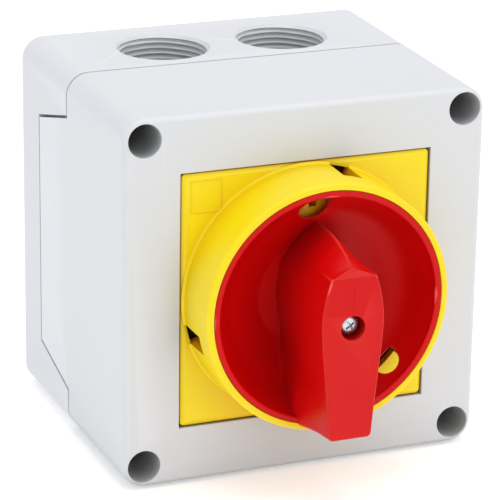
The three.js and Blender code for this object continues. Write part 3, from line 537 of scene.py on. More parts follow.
def finish_piece(obj, name, body, slot, node, sharp=34, material=None):
    """Scales a built solid to metres, smooths it up to its sharp edges, and puts it on its body.

    It takes the place of one CAD node. Its material is the slot's own unless another is named.
    """
    obj.name = name
    obj.data.name = name
    obj.data.transform(Matrix.Scale(MM, 4))
    for polygon in obj.data.polygons:
        polygon.use_smooth = True
    obj.data.set_sharp_from_angle(angle=math.radians(sharp))
    obj.data.materials.clear()
    obj.data.materials.append(MATERIALS[material or slot])
    even = obj.modifiers.new("even_normals", "WEIGHTED_NORMAL")
    even.keep_sharp = True
    even.weight = 100
    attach(obj, body)
    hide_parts(node)


# ---------------------------------------------------------------- box


def box_form(name):
    """The outer form of the closed box, with round vertical and front edges."""
    rings = []
    for run, rise in reversed(quarter(BACK_EDGE_R, 3)):
        rings.append(rounded_square(BACK_HALF - run, CORNER_R - run, -rise))
    for run, rise in quarter(FRONT_EDGE_R, 6):
        y = FRONT_Y + rise
        rings.append(rounded_square(half_at(y) - run, CORNER_R - run, y))
    return loft(name, rings)


def side_tongues(grow, inner_x):
    """The zones of the lid's side tongues, left and right."""
    lower = [
        (PARTING_Y - 1, -TONGUE_ROOT_HALF - grow),
        (PARTING_Y + grow, -TONGUE_ROOT_HALF - grow),
        (TONGUE_TIP_Y + grow, -TONGUE_TIP_HALF - grow),
    ]
    outline = [(y, -z) for y, z in lower] + lower[::-1]
    zones = []
    for side in (1, -1):
        rings = [[(side * x, y, z) for y, z in outline] for x in (inner_x, BACK_HALF + 1)]
        zones.append(loft("tongue_zone", rings))
    return zones


def slab(y0, y1):
    """Everything between two depths."""
    far = BACK_HALF + 2
    return block("slab", (-far, y0, -far), (far, y1, far))


def seal_ring(half_width, y0, y1):
    """The path of the lid seal, as a closed band inside the four lid screws."""
    grow = half_width * (2 - math.sqrt(2))
    outer = cut_square(SEAL_HALF + half_width, SEAL_DIAGONAL + grow + half_width)
    inner = cut_square(SEAL_HALF - half_width, SEAL_DIAGONAL - grow - half_width)
    ring = prism("seal", outer, y0, y1)
    return combine(ring, "DIFFERENCE", [prism("seal_inside", inner, y0 - 1, y1 + 1)])


def thread_tool(length, mouth):
    """The tool that cuts one threaded entry: a helical thread, a mouth chamfer and a plain bore.

    The thread runs in from the mouth, which is that far from the axis of the box.
    """
    around = 72
    per_pitch = 6
    levels = int(length / ENTRY_PITCH * per_pitch)
    rings = []
    for level in range(levels + 1):
        depth = level * ENTRY_PITCH / per_pitch
        ring = []
        for i in range(around):
            share = (depth / ENTRY_PITCH + i / around) % 1.0
            ridge = min(1.0, max(0.0, 2.4 * abs(2 * share - 1) - 0.7))
            fade = min(1.0, max(0.0, (length - depth) / ENTRY_PITCH))
            radius = ENTRY_MINOR_R + (ENTRY_MAJOR_R - ENTRY_MINOR_R) * ridge * fade
            angle = 2 * math.pi * i / around
            ring.append((radius * math.cos(angle), -mouth + depth, radius * math.sin(angle)))
        rings.append(ring)
    tool = loft("thread", rings)
    chamfer = ENTRY_MAJOR_R - ENTRY_MINOR_R
    flare = turned("mouth", [
        (0, -mouth - 2), (ENTRY_MAJOR_R + 2.0, -mouth - 2),
        (ENTRY_MAJOR_R + 0.12, -mouth - 0.02), (ENTRY_MAJOR_R, -mouth + 0.1),
        (ENTRY_MINOR_R, -mouth + 0.1 + chamfer), (0, -mouth + 0.1 + chamfer),
    ], around)
    bore = rod("bore", ENTRY_MINOR_R, -mouth + 0.5, -ENTRY_BOSS_END + 1, segments=around)
    return combine(tool, "UNION", [flare, bore])


def entries():
    """The place along X and the side, +1 for the top and -1 for the bottom, of each cable entry."""
    return [(x, side) for side in (1, -1) for x in (-ENTRY_X, ENTRY_X)]


def make_base():
    """The back half of the box, with threaded entries, screw pillars, bosses and fixing slots."""
    parting = PARTING_Y + PARTING_GROOVE / 2
    body = box_form("base")
    combine(body, "INTERSECT", [slab(parting, 2)])
    inner = WALL + RIM_HALF
    side_end, top_end = CORNER_CUT - RIM_HALF, CORNER_CUT - inner
    narrow = [
        (RIM_HALF, -side_end), (RIM_HALF, side_end), (top_end, inner), (-top_end, inner),
        (-RIM_HALF, side_end), (-RIM_HALF, -side_end), (-top_end, -inner), (top_end, -inner),
    ]
    combine(body, "DIFFERENCE", [
        prism("room", narrow, -BACK_WALL, PARTING_Y + RIM_DEPTH),
        prism("mouth", cut_square(RIM_HALF, CORNER_CUT), -BACK_WALL - 1, PARTING_Y - 1),
        *side_tongues(PARTING_GROOVE, BACK_HALF - TONGUE_THICKNESS - 2 * GAP),
    ])
    screw_low, screw_high = box_mm("fixing_screw_2")
    ear_x = (screw_low.x + screw_high.x) / 2
    post_end = box_mm("switch_base")[1].y + GAP
    top = half_at(ENTRY_Y)
    additions = [rod("post", POST_R, -1, post_end, x, 0) for x in (-ear_x, ear_x)]
    for x, side in entries():
        boss = rod("boss", ENTRY_BOSS_R, -(top - 1), -ENTRY_BOSS_END, segments=72)
        boss = turn_to_z(boss, x, side)
        additions.append(combine(boss, "INTERSECT", [box_form("inside")]))
    combine(body, "UNION", additions)
    cuts = [turn_to_z(thread_tool(ENTRY_THREAD_END, top), x, side) for x, side in entries()]
    cuts.append(seal_ring(SEAL_WIDTH / 2, PARTING_Y - 1, PARTING_Y + SEAL_DEPTH))
    for sx, sz in CORNERS:
        cuts.append(rod("pilot", LID_SCREW_HOLE_R, PILOT_END_Y, PARTING_Y - 2,
                        sx * WELL_AT, sz * WELL_AT, 32))
        cuts.append(wall_slot(sx * WALL_SLOT_X, sz * WALL_SLOT_Z))
    for x in (-ear_x, ear_x):
        cuts.append(rod("post_hole", POST_HOLE_R, -BACK_WALL - 0.6, post_end - 1, x, 0, 32))
    return combine(body, "DIFFERENCE", cuts)


def wall_slot(x, z):
    """One upright fixing slot through the back wall, with a softened mouth."""
    def outline(radius):
        points = []
        for start, shift in ((0, 2), (math.pi, -2)):
            for i in range(13):
                angle = start + math.pi * i / 12
                points.append((x + radius * math.cos(angle), z + shift + radius * math.sin(angle)))
        return points
    levels = ((3.2, 0.5), (2.9, -0.05), (2.6, -0.35), (2.6, -BACK_WALL - 1))
    return loft("slot", [[(px, y, pz) for px, pz in outline(r)] for r, y in levels])


def well_tool(sx, sz):
    """The deep round well over one lid screw, with a softened mouth."""
    lead = 0.3
    profile = [(0, FRONT_Y - 1), (WELL_R + lead, FRONT_Y - 1)]
    for i in range(5):
        turn = math.pi / 2 * i / 4
        profile.append((WELL_R + lead * (1 - math.sin(turn)), FRONT_Y + lead * (1 - math.cos(turn))))
    profile += [(WELL_R - 0.12, WELL_FLOOR_Y), (0, WELL_FLOOR_Y)]
    return turned("well", profile, 64, (sx * WELL_AT, sz * WELL_AT))


def make_lid():
    """The front half of the box, with side tongues, screw wells and the square recess."""
    zone = slab(FRONT_Y - 2, PARTING_Y - PARTING_GROOVE / 2)
    combine(zone, "UNION", side_tongues(0, BACK_HALF - TONGUE_THICKNESS - GAP))
    body = combine(box_form("lid_form"), "INTERSECT", [zone])
    front_inside = FRONT_Y + LID_FRONT_WALL
    combine(body, "DIFFERENCE", [
        prism("rim_room", cut_square(RIM_HALF, CORNER_CUT), PARTING_Y + 1, PARTING_Y - RIM_DEPTH - 1),
        prism("room", cut_square(FRONT_HALF - WALL, CORNER_CUT), PARTING_Y - RIM_DEPTH, front_inside),
    ])
    floor_y = FRONT_Y + RECESS_DEPTH
    tray = RECESS_HALF + RECESS_FLOOR
    pocket_end = box_mm("shaft_seal")[1].y + GAP
    combine(body, "UNION", [
        block("tray", (-tray, FRONT_Y + 1, -tray), (tray, floor_y + RECESS_FLOOR, tray)),
        rod("seal_boss", SEAL_BOSS_R, pocket_end + 2.4, floor_y, segments=64),
    ])
    half, lead = RECESS_HALF, 0.12
    mouth = half + lead
    recess = loft("recess", [
        [(sx * size, y, sz * size) for sx, sz in CORNERS]
        for size, y in ((mouth, FRONT_Y - 1), (mouth, FRONT_Y), (half, FRONT_Y + lead), (half, floor_y))
    ])
    cuts = [
        recess,
        rod("seal_pocket", SEAL_POCKET_R, pocket_end, floor_y - 1, segments=64),
        rod("shaft_pass", SHAFT_PASS_R, pocket_end + 3.4, pocket_end - 1),
    ]
    for sx, sz in CORNERS:
        cuts.append(well_tool(sx, sz))
        cuts.append(rod("screw_pass", LID_SCREW_HOLE_R, PARTING_Y + 1, WELL_FLOOR_Y - 1,
                        sx * WELL_AT, sz * WELL_AT, 32))
        cuts.append(snap_block(sx, sz, 0.35, floor_y - 1, floor_y + RECESS_FLOOR + 1))
    return combine(body, "DIFFERENCE", cuts)


def snap_block(sx, sz, grow, y0, y1):
    """The room of one of the plate's snap legs."""
    x, z = sx * SNAP_X, sz * SNAP_Z
    wide, thick = SNAP_HALF
    low = (x - wide - grow, y0, z - thick - grow)
    high = (x + wide + grow, y1, z + thick + grow)
    return block("snap", low, high)


# ---------------------------------------------------------------- yellow plate and collar


def sector_tool(angle, span, inner_r, outer_r, y0, y1):
    """A ring sector centred on an angle in degrees from +X towards +Z."""
    steps = 8
    outline = []
    for radius, order in ((inner_r, 1), (outer_r, -1)):
        for i in range(steps + 1):
            turn = math.radians(angle + order * span * (i / steps - 0.5))
            outline.append((radius * math.cos(turn), radius * math.sin(turn)))
    return prism("sector", outline, y0, y1)


def make_land():
    """The raised ring on the plate under the dish, notched beside the round padlock hole."""
    base_y, top_y, lead = FRONT_Y + 0.5, FRONT_Y - LAND_HEIGHT, 0.2
    land = turned("land", [
        (LAND_INNER_R, base_y), (LAND_OUTER_R, base_y), (LAND_OUTER_R, top_y + lead),
        (LAND_OUTER_R - lead, top_y), (LAND_INNER_R + lead, top_y), (LAND_INNER_R, top_y + lead),
    ], 144)
    return combine(land, "DIFFERENCE", [
        sector_tool(angle, span, LAND_NOTCH_R, COLLAR_BORE_R, FRONT_Y, top_y - 1)
        for angle, span in LAND_NOTCHES
    ])


def make_escutcheon():
    """The yellow plate with its bevelled edge, collar, windows, label field and snap legs."""
    half = PLATE_HIGH.x
    back_y = FRONT_Y + PLATE_THICKNESS
    body = loft("plate", [
        rounded_square(half, 1.2, back_y, 5),
        rounded_square(half, 1.2, FRONT_Y + 0.75, 5),
        rounded_square(half - 0.12, 1.2, FRONT_Y + 0.55, 5),
        rounded_square(half - PLATE_BEVEL + 0.15, 1.1, FRONT_Y + 0.04, 5),
        rounded_square(half - PLATE_BEVEL - 0.15, 1.1, FRONT_Y, 5),
    ])
    rim_y = FRONT_Y - COLLAR_HEIGHT
    foot = 0.7
    profile = [(COLLAR_BORE_R, FRONT_Y + 1), (COLLAR_FOOT_R + foot, FRONT_Y + 1)]
    for run, rise in quarter(foot, 5):
        profile.append((COLLAR_FOOT_R + rise, FRONT_Y - run))
    rim = 0.85
    for run, rise in quarter(rim, 6):
        profile.append((COLLAR_R - run, rim_y + rise))
    inner = 0.2
    for i in range(4):
        turn = math.pi / 2 * i / 3
        profile.append((
            COLLAR_BORE_R + inner * (1 - math.sin(turn)),
            rim_y + inner * (1 - math.cos(turn)),
        ))
    collar = turned("collar", profile, 144)
    combine(body, "UNION", [collar, make_land()])
    combine(body, "DIFFERENCE", [
        *[sector_tool(angle, span, LAND_INNER_R - 1, COLLAR_R + 3, FRONT_Y, FRONT_Y - WINDOW_HEIGHT)
          for angle, span in WINDOWS],
        *[sector_tool(angle, span, SLOT_INNER_R, SLOT_OUTER_R, back_y + 1, FRONT_Y - 0.5)
          for angle, span in WINDOWS],
        rod("hub_hole", HUB_R + GAP, back_y + 1, FRONT_Y - 1, segments=64),
    ])
    additions = []
    leg_end = FRONT_Y + RECESS_DEPTH + RECESS_FLOOR + 2
    for sx, sz in CORNERS:
        additions.append(snap_block(sx, sz, 0, FRONT_Y + 1, leg_end))
        x, wide = sx * SNAP_X, SNAP_HALF[0]
        z0, z1 = sorted((sz * SNAP_Z, sz * BARB_Z))
        additions.append(block("barb", (x - wide, leg_end - BARB_LENGTH, z0), (x + wide, leg_end, z1)))
    combine(body, "UNION", additions)
    return combine(body, "UNION", [label_field()])


def label_field():
    """A fine raised line round the blank label field in the plate's upper corner."""
    low_x, high_x = LABEL_X
    low_z, high_z = LABEL_Z

    def ring(inset, y):
        return [
            (low_x + inset, y, low_z + inset), (high_x - inset, y, low_z + inset),
            (high_x - inset, y, high_z - inset), (low_x + inset, y, high_z - inset),
        ]

    top, lean = FRONT_Y - LABEL_RISE, 0.08
    frame_body = loft("label", [ring(0, FRONT_Y + 0.3), ring(0, FRONT_Y), ring(lean, top)])
    inside = loft("label_inside", [
        ring(LABEL_LINE, FRONT_Y + 1), ring(LABEL_LINE, FRONT_Y),
        ring(LABEL_LINE - lean, top - 0.01), ring(LABEL_LINE - lean, top - 1),
    ])
    return combine(frame_body, "DIFFERENCE", [inside])


# ---------------------------------------------------------------- red dish handle

CONE_SLOPE = (KNEE - HUB_FLOOR) / (KNEE_R - HUB_FLOOR_R)
STEEP_SLOPE = (STEEP_TOP - KNEE) / (LIP_INNER_R - KNEE_R)
KNEE_SOFTNESS = 2.2
KNEE_SUNK = 0.5


def cone_at(radius):
    """The height of the gentle cone's line at a radius."""
    return HUB_FLOOR + CONE_SLOPE * (radius - HUB_FLOOR_R)


def steep_at(radius):
    """The height of the steep wall's line at a radius."""
    return KNEE + STEEP_SLOPE * (radius - KNEE_R)


def dish_height(radius):
    """The height of the dish's inside above the plate: floor, gentle cone, soft knee, steep wall."""
    if radius <= HUB_FLOOR_R:
        return HUB_FLOOR
    gentle, steep = cone_at(radius), steep_at(radius)
    fade = min(1.0, (radius - HUB_FLOOR_R) / 4, (LIP_INNER_R - radius) / 2)
    sunk = KNEE_SUNK * max(0.0, fade)
    return (gentle + steep + math.hypot(gentle - steep, KNEE_SOFTNESS * max(0.1, fade))) / 2 - sunk


def make_dish():
    """The dish: lip, steep wall, gentle cone, flat floor, skirt and hub."""
    profile = [(0, FRONT_Y - HUB_FLOOR), (HUB_FLOOR_R - 0.12, FRONT_Y - HUB_FLOOR)]
    steps = 36
    for i in range(1, steps):
        radius = HUB_FLOOR_R + (LIP_INNER_R - HUB_FLOOR_R) * i / steps
        profile.append((radius, FRONT_Y - dish_height(radius)))
    lip_y = FRONT_Y - COLLAR_HEIGHT
    lead = COLLAR_HEIGHT - STEEP_TOP
    for i in range(6):
        turn = math.pi / 2 * i / 5
        profile.append((LIP_INNER_R + lead * (1 - math.cos(turn)), lip_y + lead * (1 - math.sin(turn))))
    for run, rise in reversed(quarter(LIP_EDGE_R, 5)):
        profile.append((DISH_R - run, lip_y + rise))
    cone_drop = DISH_WALL * math.hypot(1, CONE_SLOPE)
    steep_drop = DISH_WALL * math.hypot(1, STEEP_SLOPE)
    skirt_r = DISH_R - SKIRT_THICKNESS
    back_r = HUB_FLOOR_R + (DISH_BACK + cone_drop - HUB_FLOOR) / CONE_SLOPE
    knee_back_r = KNEE_R + (steep_drop - cone_drop) / (STEEP_SLOPE - CONE_SLOPE)
    profile += [
        (DISH_R, FRONT_Y - SKIRT_END), (skirt_r, FRONT_Y - SKIRT_END),
        (skirt_r, FRONT_Y - steep_at(skirt_r) + steep_drop),
        (knee_back_r, FRONT_Y - cone_at(knee_back_r) + cone_drop),
        (back_r, FRONT_Y - DISH_BACK), (HUB_R, FRONT_Y - DISH_BACK),
        (HUB_R, HUB_END_Y - 0.4), (HUB_R - 0.4, HUB_END_Y), (0, HUB_END_Y),
    ]
    return turned("dish", profile, 144)


# The grip, by height above the plate: its nose's highest point, how round the nose is there (1 is
# straight), and the foot's lowest point. SIDE is the side of its face, from the nose's corner down
# to the foot, as (x, z). FACET_DROP and FACET_RISE give the slope of the facet on the nose.
NOSE = ((2.0, 14.0), (5.3, 20.2), (9.0, 20.3), (13.0, 20.2), (16.6, 19.9), (20.0, 19.2),
        (25.0, 17.4), (29.0, 15.35), (31.0, 15.35))
NOSE_ROUND = ((2.0, 1.22), (12.0, 1.2), (20.0, 1.1), (25.0, 1.0), (31.0, 1.0))
NOSE_BLEND = 3.0
FOOT = ((2.0, -13.6), (5.3, -19.8), (7.2, -23.8), (9.0, -26.2), (13.0, -28.4), (15.2, -29.8),
        (16.2, -30.9), (20.0, -30.7), (25.0, -30.3), (31.0, -29.8))
SIDE = ((6.08, 13.2), (7.5, 8.3), (8.3, 2.5), (8.1, -3.5), (7.4, -11.0), (6.5, -20.0), (5.75, -28.6))
SIDE_DRAFT = 0.045
GRIP_EDGE_R = 0.45
FACET_DROP = 1.8
FACET_RISE = 2.15
FLARE = 2.6
FLARE_TOP = 25.0
FLARE_FULL = 14.0
FLARE_START_Z = -12
FLARE_REACH = 16


def foot_flare(height, z):
    """How far the side sweeps out at a height above the plate, more towards the foot."""
    low = min(1.0, max(0.0, (FLARE_TOP - height) / (FLARE_TOP - FLARE_FULL)))
    near = min(1.0, max(0.0, (FLARE_START_Z - z) / FLARE_REACH))
    return FLARE * low * low * near * near


def grip_outline(height):
    """The grip's closed outline at one height above the plate, as (x, z) points."""
    foot_z = along(FOOT, height)
    nose_z = along(NOSE, height)
    power = along(NOSE_ROUND, height)
    wider = SIDE_DRAFT * (GRIP_FRONT - height)
    stretch = foot_z / FOOT[-1][1]
    top_z = SIDE[0][1]
    side = []
    for point in smooth_curve(SIDE, 30):
        draft = wider * min(1.0, (top_z - point.y) / NOSE_BLEND)
        z = point.y * (stretch if point.y < 0 else 1.0)
        side.append(Vector((point.x + draft + foot_flare(height, point.y), z)))
    corner = side[0]
    nose_steps = 14
    right = []
    for i in range(nose_steps):
        x = corner.x * i / nose_steps
        z = corner.y + (nose_z - corner.y) * (1 - (x / corner.x) ** power)
        right.append(Vector((x, z)))
    right += side
    end = side[-1]
    round_r = end.y - foot_z
    for i in range(1, 7):
        turn = math.pi / 2 * i / 6
        right.append(Vector((end.x - round_r * (1 - math.cos(turn)), end.y - round_r * math.sin(turn))))
    left = [Vector((-p.x, p.y)) for p in reversed(right[1:])]
    return right + left


def grow_outline(outline, amount):
    """Moves each point of an outline outwards by its own amount."""
    count = len(outline)
    moved = []
    for i, point in enumerate(outline):
        direction = outline[(i + 1) % count] - outline[i - 1]
        normal = Vector((-direction.y, direction.x)).normalized()
        if normal.dot(point - Vector((0, -5))) < 0:
            normal.negate()
        moved.append(point + normal * amount(point))
    return moved


def make_grip():
    """The bar grip, with its flared foot and the bevelled facet on its nose."""
    heights = [HUB_FLOOR - 1.2]
    while heights[-1] < GRIP_FRONT - GRIP_EDGE_R - 0.9:
        heights.append(heights[-1] + 0.5)
    heights.append(GRIP_FRONT - GRIP_EDGE_R)
    rings = [[(p.x, FRONT_Y - level, p.y) for p in grip_outline(level)] for level in heights]
    for run, rise in quarter(GRIP_EDGE_R, 4)[1:]:
        level = GRIP_FRONT - rise
        outline = grow_outline(grip_outline(level), lambda point, run=run: -run)
        rings.append([(p.x, FRONT_Y - level, p.y) for p in outline])
    grip = loft("grip", rings)
    face_y = FRONT_Y - GRIP_FRONT
    rim_y = FRONT_Y - COLLAR_HEIGHT - 0.05
    room = turned("dish_room", [
        (0, FRONT_Y - 1), (DISH_R - 0.06, FRONT_Y - 1), (DISH_R - 0.06, rim_y),
        (DISH_R + 4, rim_y), (DISH_R + 4, face_y - 2), (0, face_y - 2),
    ], 144)
    combine(grip, "INTERSECT", [room])
    corner_z = SIDE[0][1]
    facet = [
        (face_y, corner_z), (face_y + 4 * FACET_DROP, corner_z + 4 * FACET_RISE),
        (face_y - 3, corner_z + 12), (face_y - 3, corner_z),
    ]
    wedge = loft("facet", [[(x, y, z) for y, z in facet] for x in (-12, 12)])
    return combine(grip, "DIFFERENCE", [wedge])


def padlock_d():
    """The D-shaped padlock hole: most of a disc, bored square to the steep wall.

    Behind the wall its straight side runs parallel to the handle's axis.
    """
    tilt = math.atan(STEEP_SLOPE)
    outward = Vector((math.cos(D_HOLE_ANGLE), 0, math.sin(D_HOLE_ANGLE)))
    along_wall = Vector((-math.sin(D_HOLE_ANGLE), 0, math.cos(D_HOLE_ANGLE)))
    up_wall = outward * math.cos(tilt) + Vector((0, -math.sin(tilt), 0))
    through = outward * math.sin(tilt) + Vector((0, math.cos(tilt), 0))
    centre = outward * KNEE_R + Vector((0, FRONT_Y - KNEE, 0)) + up_wall * D_HOLE_UP
    half = math.acos(D_HOLE_CHORD / D_HOLE_R)
    arc = [half - math.pi + (2 * math.pi - 2 * half) * i / 32 for i in range(33)]

    def ring(depth, drop):
        points = []
        for turn in arc:
            rise = D_HOLE_R * math.cos(turn)
            rise -= drop * (D_HOLE_R - rise) / (D_HOLE_R + D_HOLE_CHORD)
            sideways = along_wall * D_HOLE_R * math.sin(turn)
            points.append(tuple(centre + up_wall * rise + sideways + through * depth))
        return points

    rings = [ring(-D_HOLE_FRONT, 0.0), ring(0.0, 0.0), ring(D_HOLE_BACK, D_HOLE_BACK * STEEP_SLOPE)]
    return loft("padlock_d", rings)


def padlock_round():
    """The round padlock hole, which stops at the lip."""
    x = ROUND_HOLE_AT * math.cos(ROUND_HOLE_ANGLE)
    z = ROUND_HOLE_AT * math.sin(ROUND_HOLE_ANGLE)
    hole = rod("padlock_round", ROUND_HOLE_R, FRONT_Y - 0.1, FRONT_Y - COLLAR_HEIGHT - 1, x, z)
    keep = turned("lip_guard", [
        (LIP_INNER_R - 0.1, FRONT_Y), (DISH_R + 4, FRONT_Y),
        (DISH_R + 4, FRONT_Y - COLLAR_HEIGHT - 2), (LIP_INNER_R - 0.1, FRONT_Y - COLLAR_HEIGHT - 2),
    ], 144)
    return combine(hole, "DIFFERENCE", [keep])


def make_handle():
    """Dish and grip in one, with the screw's counterbore, shaft socket and padlock holes."""
    body = combine(make_dish(), "UNION", [make_grip()])
    face_y = FRONT_Y - GRIP_FRONT
    floor_y = FRONT_Y - COUNTERBORE_FLOOR
    lead = 0.18
    bore = turned("counterbore", [
        (0, face_y - 1), (COUNTERBORE_R + lead, face_y - 1), (COUNTERBORE_R + lead, face_y),
        (COUNTERBORE_R + lead * 0.3, face_y + lead * 0.3), (COUNTERBORE_R, face_y + lead),
        (COUNTERBORE_R - 0.05, floor_y), (0, floor_y),
    ], 64)
    line_low, line_high = MOULD_LINE_Z
    line = block("mould_line", (-MOULD_LINE_HALF, face_y - 1, line_low),
                 (MOULD_LINE_HALF, face_y + MOULD_LINE_DEPTH, line_high))
    return combine(body, "DIFFERENCE", [
        bore,
        rod("screw_pass", SCREW_PASS_R, SHAFT_FRONT_Y, face_y, segments=32),
        block("socket", (-SOCKET_HALF, SHAFT_FRONT_Y - GAP, -SOCKET_HALF),
              (SOCKET_HALF, HUB_END_Y + 1, SOCKET_HALF)),
        padlock_d(),
        padlock_round(),
        line,
    ])


# ---------------------------------------------------------------- screws

# The height of the head and the radius of the shank, by the first word of the node's name.
SCREW_SIZES = {
    "handle": (2.0, 1.4), "lid": (3.5, 1.9), "fixing": (2.4, 1.55),
    "earth": (2.4, 1.55), "line": (2.4, 1.55), "load": (2.4, 1.55),
}
# The wing's length and width at each depth, as shares of those at the head's top.
WING_ABOVE, WING_TOP, WING_FLOOR = (1.15, 1.1), (1.0, 1.0), (0.45, 0.7)


def cross_wing(reach, width, top_y, floor_y, at, turn):
    """One tapered wing pair of a cross recess."""
    rings = []
    for (long, wide), y in ((WING_ABOVE, top_y - 0.3), (WING_TOP, top_y), (WING_FLOOR, floor_y)):
        ring = []
        for sx, sz in CORNERS:
            x, z = sx * reach * long, sz * width * wide
            ring.append((
                at[0] + x * math.cos(turn) - z * math.sin(turn), y,
                at[1] + x * math.sin(turn) + z * math.cos(turn),
            ))
        rings.append(ring)
    return loft("wing", rings)


def make_screw(node, recess, turn):
    """A screw with a domed head, rolled thread and a cross or slot, filling its CAD node."""
    low, high = box_mm(node)
    at = ((low.x + high.x) / 2, (low.z + high.z) / 2)
    head_r = (high.x - low.x) / 2
    head_h, shank_r = SCREW_SIZES[node.split("_")[0]]
    back_y = low.y + head_h
    profile = [(0, low.y)]
    dome = head_h * 0.55
    for i in range(1, 9):
        lean = math.pi / 2 * i / 8
        profile.append((head_r * math.sin(lean) ** 0.8, low.y + dome * (1 - math.cos(lean))))
    profile += [(head_r, back_y - 0.12), (head_r - 0.12, back_y), (shank_r, back_y)]
    pitch = 0.5 if shank_r < 1.5 else 0.7
    y = back_y + 1.0
    while y < high.y - 2 * pitch:
        profile += [(shank_r - 0.22, y), (shank_r, y + pitch / 2)]
        y += pitch
    profile += [(shank_r - 0.25, high.y - 0.5), (shank_r - 0.6, high.y), (0, high.y)]
    body = turned(node, profile, 40, at)
    depth = low.y + head_h * 0.62
    if recess == "cross":
        wings = [cross_wing(head_r * 0.52, head_r * 0.1, low.y, depth, at, turn + crossing)
                 for crossing in (0, math.pi / 2)]
    else:
        wings = [cross_wing(head_r * 1.2, head_r * 0.13, low.y - 0.2, depth - 0.3, at, turn)]
    return combine(body, "DIFFERENCE", wings)


# ---------------------------------------------------------------- make the detailed pieces

finish_piece(make_base(), "base_shell", "enclosure", "box_grey", "base_box")
finish_piece(make_lid(), "lid_shell", "enclosure", "box_grey", "lid", material="lid_grey_painted_shade")
finish_piece(make_escutcheon(), "escutcheon_moulding", "enclosure", "plate_yellow", "escutcheon")
finish_piece(make_handle(), "handle_moulding", "handle", "handle_red", "dish_handle", sharp=16)

SCREWS = [("handle_screw", "cross", 0.6, "handle")]
SCREWS += [(f"lid_screw_{i}", "cross", 0.4 * i, "enclosure") for i in range(1, 5)]
SCREWS += [(f"fixing_screw_{i}", "cross", 0.7 * i, "enclosure") for i in range(1, 3)]
SCREWS += [(f"earth_screw_{i}", "slot", 0.9 * i, "enclosure") for i in range(1, 3)]
for row in ("line", "load"):
    SCREWS += [(f"{row}_screw_{i}", "slot", 0.5 * i, "enclosure") for i in range(1, 5)]
for screw_node, recess_kind, screw_turn, screw_body in SCREWS:
    finish_piece(make_screw(screw_node, recess_kind, screw_turn), f"{screw_node}_fine", screw_body,
                 "zinc_steel", screw_node)


# ---------------------------------------------------------------- inside pieces kept from the CAD

SLOT_OF = {row["node"]: row["material_slot"] for row in frame["record"]["subparts"]}
for node_name, node_object in frame["nodes"].items():
    if node_object.hide_render:
        continue
    slot_name = SLOT_OF[node_name]
    node_object.data.materials.clear()
    node_object.data.materials.append(MATERIALS[slot_name])
    flat = node_object.modifiers.new("flat_faces", "DECIMATE")
    flat.decimate_type = "DISSOLVE"
    flat.angle_limit = math.radians(1.5)
    edge = node_object.modifiers.new("moulded_edges", "BEVEL")
    edge.width = 0.00018
    edge.segments = 2
    edge.limit_method = "ANGLE"
    edge.angle_limit = math.radians(40)
    edge.harden_normals = True


# ---------------------------------------------------------------- studio

scene = bpy.context.scene
scene.view_settings.view_transform = "Standard"

floor_mesh = bpy.data.meshes.new("floor")
FLOOR_HALF = 3.0
FLOOR_Z = CAD_LOW.z
floor_mesh.from_pydata(
    [(sx * FLOOR_HALF, sy * FLOOR_HALF, FLOOR_Z) for sx, sy in CORNERS], [], [(0, 1, 2, 3)]
)
floor = bpy.data.objects.new("floor", floor_mesh)
scene.collection.objects.link(floor)
floor_nodes = Nodes("studio_floor")
floor_nodes.set(Base_Color=(0.86, 0.86, 0.86, 1.0), Roughness=0.8, Specular_IOR_Level=0.1,
                Emission_Color=(1.0, 1.0, 1.0, 1.0), Emission_Strength=0.3)
floor.data.materials.append(floor_nodes.material)

world = bpy.data.worlds.new("studio")
world.use_nodes = True
world.node_tree.nodes["Background"].inputs["Color"].default_value = (0.93, 0.95, 1.0, 1.0)
world.node_tree.nodes["Background"].inputs["Strength"].default_value = 0.84
scene.world = world

LAMP_SIZE = 0.6
LAMP_DISTANCE = 1.1


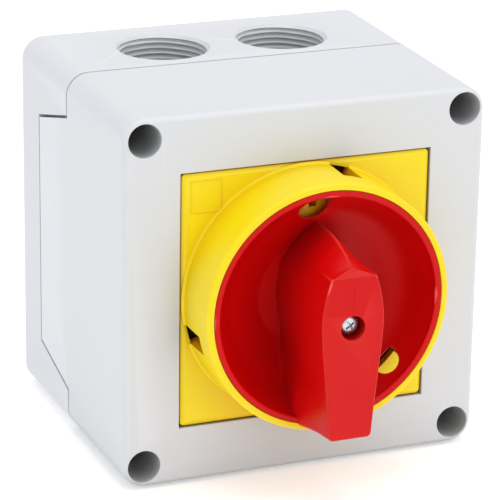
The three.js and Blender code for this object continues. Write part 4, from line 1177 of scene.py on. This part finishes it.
def towards_viewer(azimuth, elevation):
    """The direction from the object towards a viewer, in degrees."""
    turn_a, turn_e = math.radians(azimuth), math.radians(elevation)
    return Vector((
        math.sin(turn_a) * math.cos(turn_e),
        -math.cos(turn_a) * math.cos(turn_e),
        math.sin(turn_e),
    ))


def soft_light(name, azimuth, elevation, power, colour):
    """A large square lamp that looks at the object; azimuth 0 is straight in front."""
    lamp = bpy.data.lights.new(name, "AREA")
    lamp.shape = "SQUARE"
    lamp.size = LAMP_SIZE
    lamp.energy = power
    lamp.color = colour
    obj = bpy.data.objects.new(name, lamp)
    scene.collection.objects.link(obj)
    direction = towards_viewer(azimuth, elevation)
    obj.location = Vector((0.0, FRONT_Y * MM / 2, 0.0)) + direction * LAMP_DISTANCE
    obj.rotation_mode = "QUATERNION"
    obj.rotation_quaternion = (-direction).to_track_quat("-Z", "Y")


soft_light("front_left_key", -60, 45, 0.65, (1.0, 0.97, 0.9))
soft_light("left_fill", -95, 15, 0.75, (0.97, 0.98, 1.0))
soft_light("front_right_fill", 25, 20, 1.35, (1.0, 0.98, 0.94))
soft_light("right_glint", 36, 53, 1.6, (1.0, 0.99, 0.97))
soft_light("overhead", 0, 88, 3.9, (1.0, 0.98, 0.95))


# ---------------------------------------------------------------- camera

# Solved from the box's straight edges, its corner wells and the collar's circles in the photo.
# AIM is the middle of the box's front in the camera's own axes: right, up and back.
AZIMUTH = -22.134
ELEVATION = 19.485
ROLL = math.radians(0.9257)
AIM = Vector((14.10, -9.69, -712.1)) * MM
LENS = 199.8

back = towards_viewer(AZIMUTH, ELEVATION)
flat_right = back.cross(Vector((0, 0, -1))).normalized()
flat_up = back.cross(flat_right)
right = math.cos(ROLL) * flat_right + math.sin(ROLL) * flat_up
up = -math.sin(ROLL) * flat_right + math.cos(ROLL) * flat_up
front_centre = Vector((0.0, FRONT_Y * MM, 0.0))
camera_data = bpy.data.cameras.new("camera")
camera_data.lens = LENS
camera_data.sensor_width = 36.0
camera_data.clip_start = 0.05
camera_data.clip_end = 20.0
camera = bpy.data.objects.new("camera", camera_data)
scene.collection.objects.link(camera)
turn = Matrix((right, up, back)).transposed()
place = front_centre - turn @ AIM
camera.matrix_world = Matrix.Translation(place) @ turn.to_4x4()
scene.camera = camera
